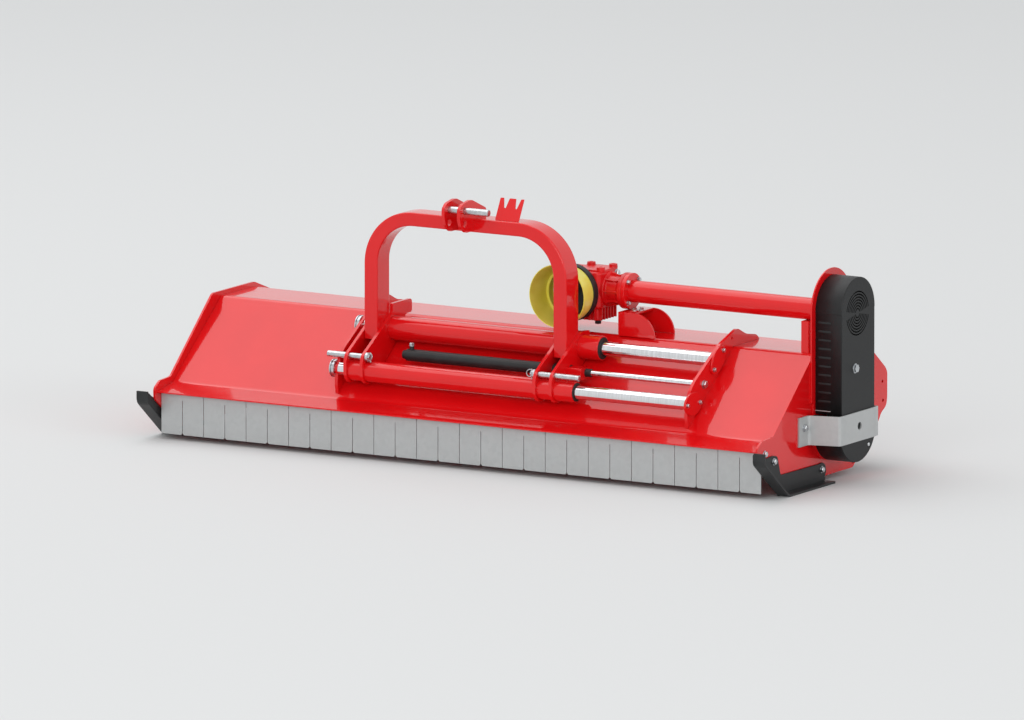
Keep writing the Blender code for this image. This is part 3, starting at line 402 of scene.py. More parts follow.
def vary(tree, shader, pattern, stops, shades, span, roughness):
    """Lets a pattern, given as (node, output), choose colour and roughness.

    The colour goes from one shade to the other between two stops of the pattern's value, and the
    roughness from its first figure to its second over a span of that value.
    """
    ramp = add_node(tree, "ShaderNodeValToRGB", [("Fac", *pattern)])
    for element, stop, shade in zip(ramp.color_ramp.elements, stops, shades):
        element.position = stop
        element.color = linear(shade)
    ends = {"From Min": span[0], "From Max": span[1], "To Min": roughness[0], "To Max": roughness[1]}
    level = add_node(tree, "ShaderNodeMapRange", [("Value", *pattern)], ends)
    tree.links.new(ramp.outputs["Color"], shader.inputs["Base Color"])
    tree.links.new(level.outputs["Result"], shader.inputs["Roughness"])


def mottle(tree, shader, shades, patch, roughness, grain=None, stretch=(1.0, 1.0, 1.0)):
    """Noise that varies colour and roughness in patches, and finer noise that lifts the surface.

    The patch's width is in millimetres. The grain is its width in millimetres and its height in
    metres. A stretch makes both patterns narrower along an axis.
    """
    place = add_node(tree, "ShaderNodeTexCoord")
    spot = add_node(tree, "ShaderNodeMapping", [("Vector", place, "Object")], {"Scale": stretch})
    patches = add_node(tree, "ShaderNodeTexNoise", [("Vector", spot, "Vector")],
                       {"Scale": per_metre(patch), "Detail": 3.0})
    vary(tree, shader, (patches, "Fac"), (0.35, 0.65), shades, (0.3, 0.7), roughness)
    if grain:
        width, height = grain
        fine = add_node(tree, "ShaderNodeTexNoise", [("Vector", spot, "Vector")],
                        {"Scale": per_metre(width), "Detail": 2.0})
        lift = add_node(tree, "ShaderNodeBump", [("Height", fine, "Fac")],
                        {"Strength": 0.35, "Distance": height})
        tree.links.new(lift.outputs["Normal"], shader.inputs["Normal"])


def powder_coated_steel():
    """Powder coat over steel: deep red under a hard clear film, with an orange peel about 4 mm across."""
    finish, tree, shader = new_finish("powder_coated_steel", {
        "IOR": 1.5, "Specular IOR Level": 0.1, "Coat Weight": 0.85, "Coat Roughness": 0.04})
    mottle(tree, shader, ("da0e13", "df1014"), 167, (0.22, 0.26), (4.2, 0.0002))
    return finish


def enamelled_casting():
    """Enamel over sand-cast iron: the same red with the sand's grain, 2 to 3 mm across, showing through."""
    finish, tree, shader = new_finish("enamelled_cast_iron", {
        "IOR": 1.5, "Specular IOR Level": 0.25, "Coat Weight": 0.25, "Coat Roughness": 0.12})
    mottle(tree, shader, ("c90c11", "dd1116"), 71, (0.25, 0.38), (2.6, 0.0007))
    return finish


def satin_painted_steel():
    """Sprayed satin paint on plate: near black, a soft sheen, with an unevenness about 2 mm across."""
    finish, tree, shader = new_finish("satin_painted_steel", {"IOR": 1.5, "Specular IOR Level": 0.35})
    mottle(tree, shader, ("222324", "2c2d2e"), 56, (0.38, 0.5), (2.0, 0.0002))
    return finish


def moulded_polyethylene():
    """Moulded black polyethylene: dark grey and dull, its fine grain drawn 1 mm across so that it shows."""
    finish, tree, shader = new_finish("moulded_polyethylene", {"IOR": 1.5, "Specular IOR Level": 0.3})
    mottle(tree, shader, ("1e1f20", "232425"), 33, (0.45, 0.52), (1.1, 0.0003))
    return finish


def moulded_yellow_guard():
    """Moulded yellow polyethylene: a waxy sheen and light scattering just under the skin."""
    finish, tree, shader = new_finish("moulded_yellow_polyethylene", {
        "IOR": 1.5, "Subsurface Weight": 0.08, "Subsurface Radius": (0.006, 0.005, 0.001)})
    mottle(tree, shader, ("e3dc50", "efe96a"), 83, (0.30, 0.42), (2.4, 0.0002))
    return finish


def hot_dip_galvanised():
    """Zinc bath coat on steel: pale grey crystals about 14 mm across, each a little lighter or rougher."""
    finish, tree, shader = new_finish("hot_dip_galvanised_steel", {"Metallic": 0.45})
    place = add_node(tree, "ShaderNodeTexCoord")
    crystals = add_node(tree, "ShaderNodeTexVoronoi", [("Vector", place, "Object")],
                        {"Scale": per_metre(14)})
    grey = add_node(tree, "ShaderNodeRGBToBW", [("Color", crystals, "Color")])
    vary(tree, shader, (grey, "Val"), (0.0, 1.0), ("b4b6b6", "bcbebe"), (0.0, 1.0), (0.42, 0.6))
    return finish


def bright_zinc_plate():
    """Electroplated zinc: bright, slightly blue, with faint clouding of the bath."""
    finish, tree, shader = new_finish("bright_zinc_plate", {"Metallic": 1.0})
    mottle(tree, shader, ("b9bcc0", "cfd2d4"), 17, (0.22, 0.34))
    return finish


def ground_chrome():
    """Hard chrome ground round the bar: mirror bright, with lines across its length about 2 mm apart."""
    finish, tree, shader = new_finish("ground_hard_chrome", {"Metallic": 1.0})
    mottle(tree, shader, ("dcdddf", "ebecee"), 100, (0.05, 0.10), (33, 0.00001), stretch=(16.0, 1.0, 1.0))
    return finish


def machined_steel():
    """Bare machined and forged steel: grey with oil-dark patches, and turning marks under 2 mm apart."""
    finish, tree, shader = new_finish("machined_steel", {"Metallic": 1.0})
    mottle(tree, shader, ("6d6b69", "8e8c89"), 25, (0.35, 0.5), (6.25, 0.00008), stretch=(4.0, 1.0, 1.0))
    return finish


def belt_rubber():
    """Moulded belt rubber with its fabric cover: matt black, dusted, its threads about 1 mm apart."""
    finish, tree, shader = new_finish("wrapped_belt_rubber", {"IOR": 1.5})
    mottle(tree, shader, ("1c1c1c", "282828"), 12.5, (0.7, 0.85), (1.1, 0.0003))
    return finish


# The finish of each material slot, and the casting's own in place of the red slot's
CAST_RED = enamelled_casting()
FINISH_OF = {"red_paint": powder_coated_steel(), "black_paint": satin_painted_steel(),
             "black_plastic": moulded_polyethylene(), "yellow_plastic": moulded_yellow_guard(),
             "galvanised": hot_dip_galvanised(), "zinc_plate": bright_zinc_plate(),
             "chrome": ground_chrome(), "steel": machined_steel(), "belt_rubber": belt_rubber()}


def make_casing():
    """The hood as a folded sheet, the post under the drive tube, and the bolts beside the skids."""
    end = INNER_X - SEAT
    skin = bent_sheet(SHELL_LINE, 0.005, -end, end, "X", 0.012)
    post_x, post_y, post_z = (1.159, 1.191), (0.360, 0.440), (0.4600, 0.5747)
    post = slab(soften(oblong(post_x, post_y), 0.004, True), *post_z, "Z", 0.001)
    piece("casing_skin", [skin, post], "casing", "red_paint", ("casing_shell",))
    heads = []
    # The washers stand just off the side plate, and are sunk a little into the skids' webs
    on_plate = OUTER_X + 0.0001
    on_skid = on_plate + SKID_WEB
    for side in (-1, 1):
        places = [(side * on_skid, -0.014, 0.1300), (side * on_skid, 0.328, 0.050),
                  (side * on_plate, *ROD_YZ)]
        heads += bolts(places, (side, 0, 0), 0.019, 0.008)
    piece("skid_bolts", heads, "casing", "zinc_plate")


def line_height(line, y):
    """Height of a line of (Y, Z) points at a given Y."""
    line = np.asarray(line, float)
    return float(np.interp(y, line[:, 0], line[:, 1]))


def make_side_plates():
    """Side plates: a softened outline pierced by adjusting holes, and on the right for the rotor's shaft."""
    outline = [(-0.010, 0.2175), (-0.086, 0.2135), (-0.122, 0.1905), (-0.120, 0.150), (-0.060, 0.1055),
               (0.050, 0.026), (0.100, 0.022), (0.564, 0.022), (0.597, 0.0536), (0.751, 0.165),
               (0.765, 0.188), (0.803, 0.210), (0.811, 0.237), (0.811, 0.333), (0.798, 0.351),
               (0.690, 0.437), (0.574, 0.479), (0.2835, 0.479)]
    adjusting = [circle(place, 0.006, 24) for place in ((0.776, 0.3025), (0.780, 0.233), (0.564, 0.041))]
    for name, side in SIDES:
        holes = adjusting + ([circle(ROTOR_YZ, 0.028)] if side > 0 else [])
        span = sorted((side * INNER_X, side * OUTER_X))
        plate = pierced(soften(outline, 0.012, True), holes, *span, "X")
        piece(f"{name}_end_plate", plate, "casing", "red_paint", (f"{name}_side_plate",), edge=0.0015)


def make_bar_supports():
    """Fan-shaped supports on the hood, pierced for the bars and on the right for the cylinder's rod."""
    seat = offset(SHELL_LINE, -SEAT)
    front_y, rear_y = 0.018, 0.529
    outline = [(front_y, line_height(seat, front_y)), (0.010, 0.2575), (0.034, 0.3425), (0.067, 0.3745),
               (0.240, 0.4805), (0.369, 0.5245), (0.433, 0.4945), (0.506, 0.4825),
               (rear_y, line_height(seat, rear_y)), tuple(seat[2])]
    outline = np.concatenate([soften(outline, 0.016)[:-1], outline[-2:]])
    for name, low in SUPPORT_X.items():
        holes = [circle(LOWER_YZ, BAR_BORE), circle(UPPER_YZ, BAR_BORE), circle((0.330, 0.494), 0.006, 24)]
        if name == "right":
            holes.append(circle(CYLINDER_YZ, 0.0117, 32))
        plate = pierced(outline, holes, low, low + SUPPORT_PLATE, "X")
        piece(f"{name}_bar_support_plate", plate, "casing", "red_paint", (f"{name}_bar_support",),
              edge=0.0015)


def make_hitch_plates():
    """Hitch plates with a rounded nose, pierced for sleeves and pins, and on the right for the cylinder.

    The left inner plate has an ear at the rear, and the right outer one a block round the
    cylinder's gland.
    """
    clear = offset(SHELL_LINE, -0.004)
    front = [(0.205, 0.4865), (0.0, 0.362), (-0.010, 0.335)]
    nose = corner_arc(LOWER_YZ, 0.046, 180, 270, 12).tolist()
    rear = [(0.076, line_height(clear, 0.076)), (0.262, line_height(clear, 0.262)), (0.265, 0.440)]
    top = [(0.262, 0.4865)]
    ear = [(0.300, 0.4725), (0.335, 0.4725), (0.340, 0.480), (0.340, 0.515), (0.330, 0.5225),
           (0.205, 0.5225)]
    block = soften(oblong((0.092, 0.152), (0.332, 0.374)), 0.004, True)
    for side_name, side in SIDES:
        for place, near in HITCH_X.items():
            last = ear if (side_name, place) == ("left", "inner") else top
            holes = [circle(UPPER_YZ, 0.0448), circle(LOWER_YZ, 0.0387), circle(LINK_PIN_YZ, 0.0116, 32)]
            if side > 0:
                holes.append(circle(CYLINDER_YZ, 0.0226, 32))
            low, high = sorted((HEAD_X + side * near, HEAD_X + side * (near + HITCH_PLATE)))
            shapes = [pierced(soften(front + nose + rear + last, 0.010, True), holes, low, high, "X")]
            if (side_name, place) == ("right", "outer"):
                gland_hole = circle(CYLINDER_YZ, 0.0149, 32)
                shapes.append(pierced(block, [gland_hole], high - 0.002, high + 0.063, "X"))
            piece(f"{side_name}_{place}_cheek", shapes, "headstock", "red_paint",
                  (f"{side_name}_{place}_hitch_plate",), edge=0.0018)


def oval(centre, long, short, lean):
    """An ellipse's outline, its long half-axis leaning by an angle in degrees."""
    turn, angle = 2 * np.pi * np.arange(48) / 48, np.radians(lean)
    along, across = long * np.cos(turn), short * np.sin(turn)
    return np.stack([centre[0] + along * np.cos(angle) - across * np.sin(angle),
                     centre[1] + along * np.sin(angle) + across * np.cos(angle)], 1)


def make_slide():
    """Chromed bars with oval caps bolted over their right ends and rings on their left ends.

    The shift cylinder's rod goes with them: a turned line of piston and rod, and a nut outside the
    right support.
    """
    left, right = SUPPORT_X["left"] - SEAT, SUPPORT_X["right"] + SUPPORT_PLATE + SEAT
    cap, long, bolt_reach = 0.008, 0.060, 0.045
    ring_sizes = ((-0.008, 0.0, 0.0335), (-0.0135, -0.0085, 0.031), (-0.019, -0.014, 0.0335))
    for name, centre, middle, short, lean in (("lower", LOWER_YZ, (0.044, 0.2975), 0.042, 0),
                                              ("upper", UPPER_YZ, (0.222, 0.4305), 0.038, 43)):
        bar = shaft((left - 0.023, right + 0.004), centre, BAR_R, edge=0.003, sides=72)
        piece(f"{name}_chromed_bar", bar, "casing", "chrome", (f"{name}_slide_bar",))
        plate = slab(oval(middle, long, short, lean), right, right + cap, "X", 0.002)
        piece(f"{name}_bar_cap", plate, "casing", "red_paint")
        y, z = bolt_reach * np.cos(np.radians(lean)), bolt_reach * np.sin(np.radians(lean))
        places = [(right + cap, middle[0] + turn * y, middle[1] + turn * z) for turn in (-1, 1)]
        piece(f"{name}_cap_bolts", bolts(places, (1, 0, 0), 0.013, 0.006), "casing", "zinc_plate")
        sections = [hoop((left + start, left + end), 0.0252, radius) for start, end, radius in ring_sizes]
        rings = [turned(soften(section, 0.0012, True), "X", centre, 48, ring=True) for section in sections]
        piece(f"{name}_bar_rings", rings, "casing", "zinc_plate")
    piston, rod = 0.0175, 0.011
    line = [(0.250, 0.0), (0.250, piston), (0.280, piston), (0.280, rod), (right, rod), (right + 0.001, 0.0)]
    piece("shift_cylinder_rod", turned(soften(line, 0.0008), "X", CYLINDER_YZ, 48), "casing", "chrome",
          ("cylinder_rod",))
    nut = bolts([(right - SEAT, *CYLINDER_YZ)], (1, 0, 0), 0.024, 0.010)
    piece("shift_rod_nut", nut, "casing", "zinc_plate")


def make_arch():
    """Bent box arch: legs and quarter circles outside, and the same within; and its two top link lugs."""
    out, bend, foot = 0.4217, 0.200, 0.400
    within, inner_bend, under = 0.3667, 0.145, ARCH_TOP - 0.050
    outline = np.concatenate([
        [(HEAD_X + out, foot)],
        corner_arc((HEAD_X + out - bend, ARCH_TOP - bend), bend, 0, 90, 24),
        corner_arc((HEAD_X - out + bend, ARCH_TOP - bend), bend, 90, 180, 24),
        [(HEAD_X - out, foot), (HEAD_X - within, foot)],
        corner_arc((HEAD_X - within + inner_bend, under - inner_bend), inner_bend, 180, 90, 20),
        corner_arc((HEAD_X + within - inner_bend, under - inner_bend), inner_bend, 90, 0, 20),
        [(HEAD_X + within, foot)]])
    piece("bent_box_arch", slab(outline, 0.115, 0.205, "Y", 0.006), "headstock", "red_paint",
          ("headstock_arch",))
    lug_line = [(0.118, 0.8335), (0.060, 0.8335), (0.025, 0.860), (0.015, 0.890), (0.015, 0.922),
                (0.035, 0.9400), (0.088, 0.9490), (0.104, 0.9475), (0.202, 0.906), (0.202, 0.874),
                (0.118, 0.874)]
    holes = [circle(place, 0.0131, 32) for place in (TOP_PIN_YZ, (0.052, 0.8675))]
    lugs = []
    for side in (-1, 1):
        near, far = sorted((HEAD_X + side * 0.026, HEAD_X + side * 0.038))
        lugs.append(pierced(soften(lug_line, 0.008, True), holes, near, far, "X"))
    piece("top_link_lugs", lugs, "headstock", "red_paint", ("headstock_arch",), edge=0.0015)


def make_sleeves():
    """Sliding sleeves on the bars, each with a rubber wiper seal in its right end."""
    start, lip = HEAD_X - 0.4345, 0.004
    for name, centre, radius, end in (("upper", UPPER_YZ, 0.044, 0.425), ("lower", LOWER_YZ, 0.038, 0.420)):
        sleeve = soften(hoop((start, end), BAR_BORE, radius), 0.002)
        piece(f"{name}_sliding_sleeve", turned(sleeve, "X", centre, 72, ring=True), "headstock",
              "red_paint", (f"{name}_sleeve",))
        seal = soften(hoop((end - lip, end + 0.0015), 0.0256, radius - lip), 0.001, True)
        piece(f"{name}_wiper_seal", turned(seal, "X", centre, 48, ring=True), "headstock", "belt_rubber")


def make_shift_cylinder():
    """Barrel of the shift cylinder: a turned line with its bore open to the right, and two oil ports."""
    y, z = CYLINDER_YZ
    end, outer, bore = HEAD_X + HITCH_X["outer"] + HITCH_PLATE, 0.022, 0.018
    line = [(-0.355, 0.0), (-0.355, 0.016), (-0.340, 0.016), (-0.340, outer), (end, outer), (end, 0.0145),
            (0.428, 0.0145), (0.428, 0.0114), (end - 0.025, 0.0114), (end - 0.025, bore), (-0.315, bore),
            (-0.315, 0.0)]
    port_x, port_height = (-0.322, 0.262), 0.034
    ports = [shaft((z, z + port_height), (x, y), 0.0085, "Z", sides=24) for x in port_x]
    piece("shift_cylinder_barrel", [turned(soften(line, 0.0012), "X", CYLINDER_YZ, 64)] + ports,
          "headstock", "black_paint", ("cylinder_barrel",))
    fittings = bolts([(x, y, z + port_height - 0.0005) for x in port_x], (0, 0, 1), 0.016, 0.010)
    piece("oil_fittings", fittings, "headstock", "zinc_plate")


def ring_of_wire(centre, normal, radius, wire):
    """A wire ring: a small circle carried round a large one, in the plane across its normal."""
    large = 2 * np.pi * np.arange(36) / 36
    small = 2 * np.pi * np.arange(8) / 8
    out = radius + wire * np.cos(small)[None, :]
    flat = np.stack([out * np.cos(large)[:, None], out * np.sin(large)[:, None],
                     wire * np.sin(small)[None, :] + 0 * large[:, None]], -1).reshape(-1, 3)
    return aimed((flat, grid_faces(36, 8, wrap_rows=True)), centre, normal)


def headed_pin(start, neck, tip, head, shank, centre):
    """A pin along X: a turned line, at the head's radius up to the neck and at the shank's to the tip."""
    line = [(start, 0.0), (start, head), (neck, head), (neck, shank), (tip, shank), (tip, 0.0)]
    return turned(soften(line, 0.0025), "X", centre, 40)


def make_pins():
    """Top link pin and lower link pins, each of the lower ones secured by a nut, a peg and a wire ring."""
    top_pin = headed_pin(HEAD_X - 0.0483, HEAD_X - 0.0383, HEAD_X + 0.138, 0.017, 0.0125, TOP_PIN_YZ)
    piece("top_pin", top_pin, "headstock", "zinc_plate", ("top_link_pin",))
    y, z = LINK_PIN_YZ
    clips = []
    for name, side, out in (("left", -1, 0.514), ("right", 1, 0.534)):
        start, neck, tip = (HEAD_X + side * level for level in (0.3438, 0.3538, out))
        piece(f"{name}_link_pin", headed_pin(start, neck, tip, 0.017, 0.011, LINK_PIN_YZ), "headstock",
              "zinc_plate", (f"{name}_lower_link_pin",))
        clips += bolts([(HEAD_X + side * 0.3440, y, z)], (-side, 0, 0), 0.024, 0.008)
        peg_x = HEAD_X + side * 0.3365
        clips.append(shaft((z - 0.018, z + 0.018), (peg_x, y), 0.0028, "Z", sides=20))
        ring_at = (peg_x - side * 0.002, y - 0.009, z + 0.004)
        clips.append(ring_of_wire(ring_at, (0.35 * side, -1, 0.2), 0.013, 0.0016))
    piece("linch_pins", clips, "headstock", "zinc_plate")


def make_skids():
    """Skids: a flat web against the side plate and a sole that bends up at the front."""
    line = [(-0.156, 0.1805), (-0.156, 0.1395), (0.021, 0.0), (0.3515, 0.0)]
    web = line + corner_arc((0.330, 0.044), 0.030, -40, 110, 10).tolist()
    web += [(0.035, 0.074), (0.012, 0.146), (-0.020, 0.152), (-0.085, 0.148), (-0.125, 0.158)]
    inner = OUTER_X + SEAT
    web_end, sole_start, sole_end = inner + SKID_WEB, inner + 0.003, inner + 0.050
    for name, side in SIDES:
        plate = slab(soften(web, 0.012, True), *sorted((side * inner, side * web_end)), "X", 0.001)
        sole_span = sorted((side * sole_start, side * sole_end))
        sole = bent_sheet(line[::-1], 0.008, *sole_span, "X", 0.018, 0.0015)
        piece(f"{name}_folded_skid", [plate, sole], "casing", "black_paint", (f"{name}_skid",))


def make_hose_comb():
    """Comb of three prongs that leans back: its outline is sheared along Y in step with its height."""
    left, right = 0.025, 0.122
    floor = ARCH_TOP + SEAT
    high, lean = 0.0757, 0.040
    top, slot_floor = floor + high, floor + 0.042
    line = [(left, floor), (right, floor), (right, top)]
    for slot in ((0.111, 0.102, 0.095, 0.088), (0.063, 0.056, 0.048, 0.038)):
        line += [(slot[0], top), (slot[1], slot_floor), (slot[2], slot_floor), (slot[3], top)]
    line.append((left, top))
    points, faces = pierced(soften(line, 0.003, True), [], 0.130, 0.135, "Y")
    points[:, 1] += lean * (points[:, 2] - floor) / high
    piece("hose_comb", (points, faces), "headstock", "red_paint", ("hose_holder",), edge=0.0008)


def make_drive_tube():
    """Drive tube to the belt drive and the flange at its start, both plain rings about the drive shaft."""
    tube = hoop((TUBE_START, OUTER_X), 0.035, 0.040)
    flange = soften(hoop((TUBE_START, 0.4410), 0.0398, FLANGE_R), 0.0015, True)
    shapes = [turned(section, "X", DRIVE_YZ, 72, ring=True) for section in (tube, flange)]
    piece("cross_shaft_housing_tube", shapes, "casing", "red_paint", ("cross_shaft_tube",))


def make_shaft_guard():
    """Guard of the input shaft: cone, collar, the lining inside them, and a black disc that is painted shade
    deep inside the cone.
    """
    middle = (GEAR_X, 0.606)
    cone = [(0.2125, 0.1112), (0.210, 0.1118), (0.210, 0.1145), (0.2125, 0.1148), (0.2994, 0.100),
            (0.2994, 0.096)]
    piece("shaft_guard_cone", turned(cone, "Y", middle, 96, ring=True), "casing", "yellow_plastic",
          ("pto_guard_cone",))
    collar = soften(hoop((0.2998, 0.3297), 0.086, 0.104), 0.003, True)
    piece("shaft_guard_collar", turned(collar, "Y", middle, 96, ring=True), "casing", "black_plastic",
          ("pto_guard_collar",))
    lining = [(0.2960, 0.0960), (0.2990, 0.0950), (0.3290, 0.0838), (0.3294, 0.0857), (0.2996, 0.0858),
              (0.2992, 0.0962)]
    piece("cone_lining", turned(lining, "Y", middle, 96, ring=True), "casing", "yellow_plastic")
    # Painted shade: a black disc over the gearbox's front, dark so as to stand for the shade deep inside the
    # guard's cone
    seal = [(0.3296, 0.0176), (0.3240, 0.0180), (0.3225, 0.050), (0.3250, 0.081), (0.3296, 0.082)]
    piece("cone_painted_shade_disc", turned(seal, "Y", (GEAR_X, 0.6075), 64), "casing", "black_plastic")


def louvre(centre_x, z, width, front):
    """A pressed louvre on a face that looks to -Y, open underneath.

    Its bulge is its depth times half an ellipse across times a quarter sine downwards.
    """
    rows, columns, depth, height = 6, 13, 0.0012, 0.007
    across = np.linspace(-1.0, 1.0, columns)[None, :]
    down = np.linspace(0.0, 1.0, rows)[:, None]
    lift = depth * np.sqrt(np.clip(1 - across ** 2, 0, None)) * np.sin(down * np.pi / 2)
    x = centre_x + across * width / 2 + 0 * down
    level = z + height * (1 - down) + 0 * across
    outer = np.stack([x, front - lift - 0.0002, level], -1).reshape(-1, 3)
    inner = outer + np.array([0.0, depth, -0.0002])
    inner[:, 1] = np.minimum(inner[:, 1], front + 0.0004)
    count = len(outer)
    faces = grid_faces(rows, columns, wrap_columns=False)
    back = [[corner + count for corner in face][::-1] for face in faces]
    index = np.arange(count).reshape(rows, columns)
    rim = np.concatenate([index[0], index[1:, -1], index[-1, -2::-1], index[-2:0:-1, 0]]).tolist()
    walls = [[a, b, b + count, a + count] for a, b in zip(rim, rim[1:] + rim[:1])]
    return np.concatenate([outer, inner]), faces + back + walls


def arc_slot(centre, radius, width, start, end):
    """Outline of a slot bent along a circle: an arc out, and back along a smaller one."""
    outer = corner_arc(centre, radius + width / 2, start, end, 20)
    return np.concatenate([outer, corner_arc(centre, radius - width / 2, end, start, 20)])


def moulded_band(name, line, node):
    """A moulded band: a line carried along +X, rounded over at its outer face, with its wall inwards."""
    back, front = COVER_X
    quarter = np.radians(np.linspace(0, 90, 7))
    levels = [(back, 0.0), (front - MOULDED_EDGE * 1.15, 0.0)]
    levels += [(front - MOULDED_EDGE * (1 - np.sin(a)), MOULDED_EDGE * (1 - np.cos(a))) for a in quarter]
    rings = [spread(offset(line, -deep), level, "X") for level, deep in levels]
    skin = np.concatenate(rings), grid_faces(len(rings), len(line), wrap_columns=False)
    item = piece(name, skin, "casing", "black_plastic", (node,))
    wall = item.modifiers.new("wall", "SOLIDIFY")
    wall.thickness = MOULDED_WALL
    wall.offset = -1.0
    wall.use_even_offset = True


def make_belt_cover():
    """Belt cover: a half circle on two sides that step in below it, with ring slots and ten louvres."""
    front, side_y, step = COVER_X[1], DRIVE_YZ[0], 0.0012
    side = [(COVER_R - step, COVER_BOTTOM), (COVER_R - step, COVER_TOP_Z - 0.003),
            (COVER_R, COVER_TOP_Z - 0.0015)]
    line = np.concatenate([[(side_y + y, z) for y, z in side],
                           corner_arc((side_y, COVER_TOP_Z), COVER_R, 0, 180, 48),
                           [(side_y - y, z) for y, z in side[::-1]]])
    moulded_band("moulded_belt_cover", line, "belt_cover")
    vent, first, pitch, width, sweep = (side_y - 0.005, 0.6165), 0.0165, 0.0103, 0.0048, 158
    slots = [arc_slot(vent, first + ring * pitch, width, start, start + sweep)
             for ring in range(7) for start in (11, 191)]
    face = pierced(offset(line, -MOULDED_EDGE), slots, front - MOULDED_WALL, front, "X")
    front_y = side_y - COVER_R
    louvres = [louvre(1.302, 0.5880 - row * 0.0315, 0.052, front_y + step) for row in range(10)]
    piece("vented_cover_face", [face] + louvres, "casing", "black_plastic", ("belt_cover",))
    strip = soften(oblong((1.265, 1.327), (0.2705, 0.2735)), 0.0012, True)
    piece("cover_slot_edge", slab(strip, front_y - 0.0002, front_y + 0.0025, "Y", 0.0004), "casing",
          "galvanised")
    piece("cover_bolts", bolts([(front, 0.378, 0.419)], (1, 0, 0), 0.026, 0.009), "casing", "zinc_plate")


def make_lower_guard():
    """Guard of the lower pulley: a half circle open at the top, with a bolt sunk into its face."""
    front, side_y = COVER_X[1], DRIVE_YZ[0]
    line = np.concatenate([[(side_y - GUARD_R, GUARD_TOP)], corner_arc(ROTOR_YZ, GUARD_R, 180, 360, 48),
                           [(side_y + GUARD_R, GUARD_TOP)]])
    moulded_band("moulded_lower_guard", line, "lower_belt_guard")
    bolt_yz = (0.478, 0.128)
    recess = circle(bolt_yz, 0.010, 24)
    face = pierced(offset(line, -MOULDED_EDGE), [recess], front - MOULDED_WALL, front, "X")
    piece("lower_guard_face", face, "casing", "black_plastic", ("lower_belt_guard",))
    piece("guard_bolts", bolts([(front - 0.008, *bolt_yz)], (1, 0, 0), 0.0135, 0.007), "casing",
          "zinc_plate")


def make_strap():
    """Galvanised strap across cover and guard: two bent arms from the side plate, and a pierced face."""
    side_y, span = DRIVE_YZ[0], (0.153, 0.2595)
    # Outer faces of the arms' feet and of the strap's face
    foot, far = OUTER_X + SEAT + STRAP, OUTER_X + SEAT + 0.121
    for name, turn in (("front", 1), ("rear", -1)):
        arm = [(foot, side_y - turn * 0.2335), (foot, side_y - turn * 0.1675), (far, side_y - turn * 0.1385),
               (far, side_y - turn * 0.105)]
        # Both lines run from rear to front, so that the thickness to their right lies inside
        outline = thick(soften(arm, 0.010, steps=6)[::-turn], STRAP)
        piece(f"{name}_strap_arm", slab(outline, *span, "Z", 0.0006), "casing", "galvanised",
              ("guard_bracket",))
    web = oblong((side_y - 0.1055, side_y + 0.1055), span)
    piece("strap_face", pierced(web, [circle(ROTOR_YZ, 0.014)], far - STRAP, far, "X"), "casing",
          "galvanised", ("guard_bracket",))


def cooling_fin(middle, span, axis):
    """One cooling fin: a narrow upright rectangle carried along an axis."""
    return slab(oblong((middle - 0.0025, middle + 0.0025), (0.507, 0.556)), *span, axis, 0.001)


def neck_rib(angle):
    """One rib along the gearbox's neck, turned about the drive shaft by an angle in degrees."""
    points, faces = slab([(0.348, 0.040), (0.415, 0.040), (0.415, 0.064), (0.385, 0.055), (0.348, 0.063)],
                         -0.003, 0.003, "Y", 0.001)
    out, sideways, angle = points[:, 2], points[:, 1], np.radians(angle)
    return np.stack([points[:, 0], DRIVE_YZ[0] + out * np.cos(angle) - sideways * np.sin(angle),
                     DRIVE_YZ[1] + out * np.sin(angle) + sideways * np.cos(angle)], 1), faces


def make_gearbox():
    """Cast housing on a narrower finned foot, with its top pad and bosses, ribbed neck, plugs and bolts."""
    low, high, front, rear = 0.150, 0.345, 0.330, 0.470
    inward = 0.012
    plan = soften(oblong((low, high), (front, rear)), 0.026, True)
    waist = soften(oblong((low + inward, high - inward), (front + inward, rear - inward)), 0.020, True)
    shapes = [slab(plan, 0.548, 0.683, "Z", 0.010), slab(waist, 0.505, 0.560, "Z", 0.005)]
    shapes += [cooling_fin(x, (front + 0.002, rear - 0.002), "Y")
               for x in np.linspace(low + 0.025, high - 0.025, 8)]
    shapes += [cooling_fin(y, (low + 0.002, high - 0.002), "X")
               for y in np.linspace(front + 0.020, rear - 0.020, 6)]
    pad = soften(oblong((0.222, 0.344), (0.346, 0.466)), 0.016, True)
    shapes.append(slab(pad, 0.676, 0.6885, "Z", 0.002))
    boss = [(0.684, 0.0), (0.684, 0.0165), (0.6985, 0.0150), (0.6985, 0.0065), (0.690, 0.0060), (0.690, 0.0)]
    shapes += [turned(soften(boss, 0.0015), "Z", (x, y), 32) for x in (0.238, 0.329) for y in (0.362, 0.451)]
    plug_boss = [(0.340, 0.0), (0.340, 0.046), (0.3452, 0.046), (0.3500, 0.043), (0.3500, 0.0)]
    shapes.append(turned(soften(plug_boss, 0.002), "X", (0.405, 0.600), 48))
    neck = [(0.330, 0.0), (0.330, 0.064), (0.352, 0.064), (0.356, 0.052), (0.396, 0.050), (0.407, 0.058),
            (0.409, FLANGE_R), (NECK_END, FLANGE_R), (NECK_END, 0.0180)]
    shapes.append(turned(soften(neck, 0.003), "X", DRIVE_YZ, 64))
    shapes += [neck_rib(angle) for angle in range(0, 360, 45)]
    piece("gearbox_casting", shapes, "casing", "red_paint", ("gearbox_housing",), finish=CAST_RED)
    piece("oil_plug", bolts([(high - 0.001, 0.447, 0.666)], (1, 0, 0), 0.022, 0.010), "casing",
          "zinc_plate")
    piece("drain_plug", bolts([(0.318, 0.362, 0.5055)], (0, 0, -1), 0.022, 0.012), "casing", "black_paint")
    y, z = DRIVE_YZ
    places = [(0.4412, y + across, z + up) for across in (-0.038, 0.038) for up in (-0.0375, 0.0375)]
    piece("tube_flange_bolts", bolts(places, (1, 0, 0), 0.0135, 0.008), "casing", "zinc_plate")


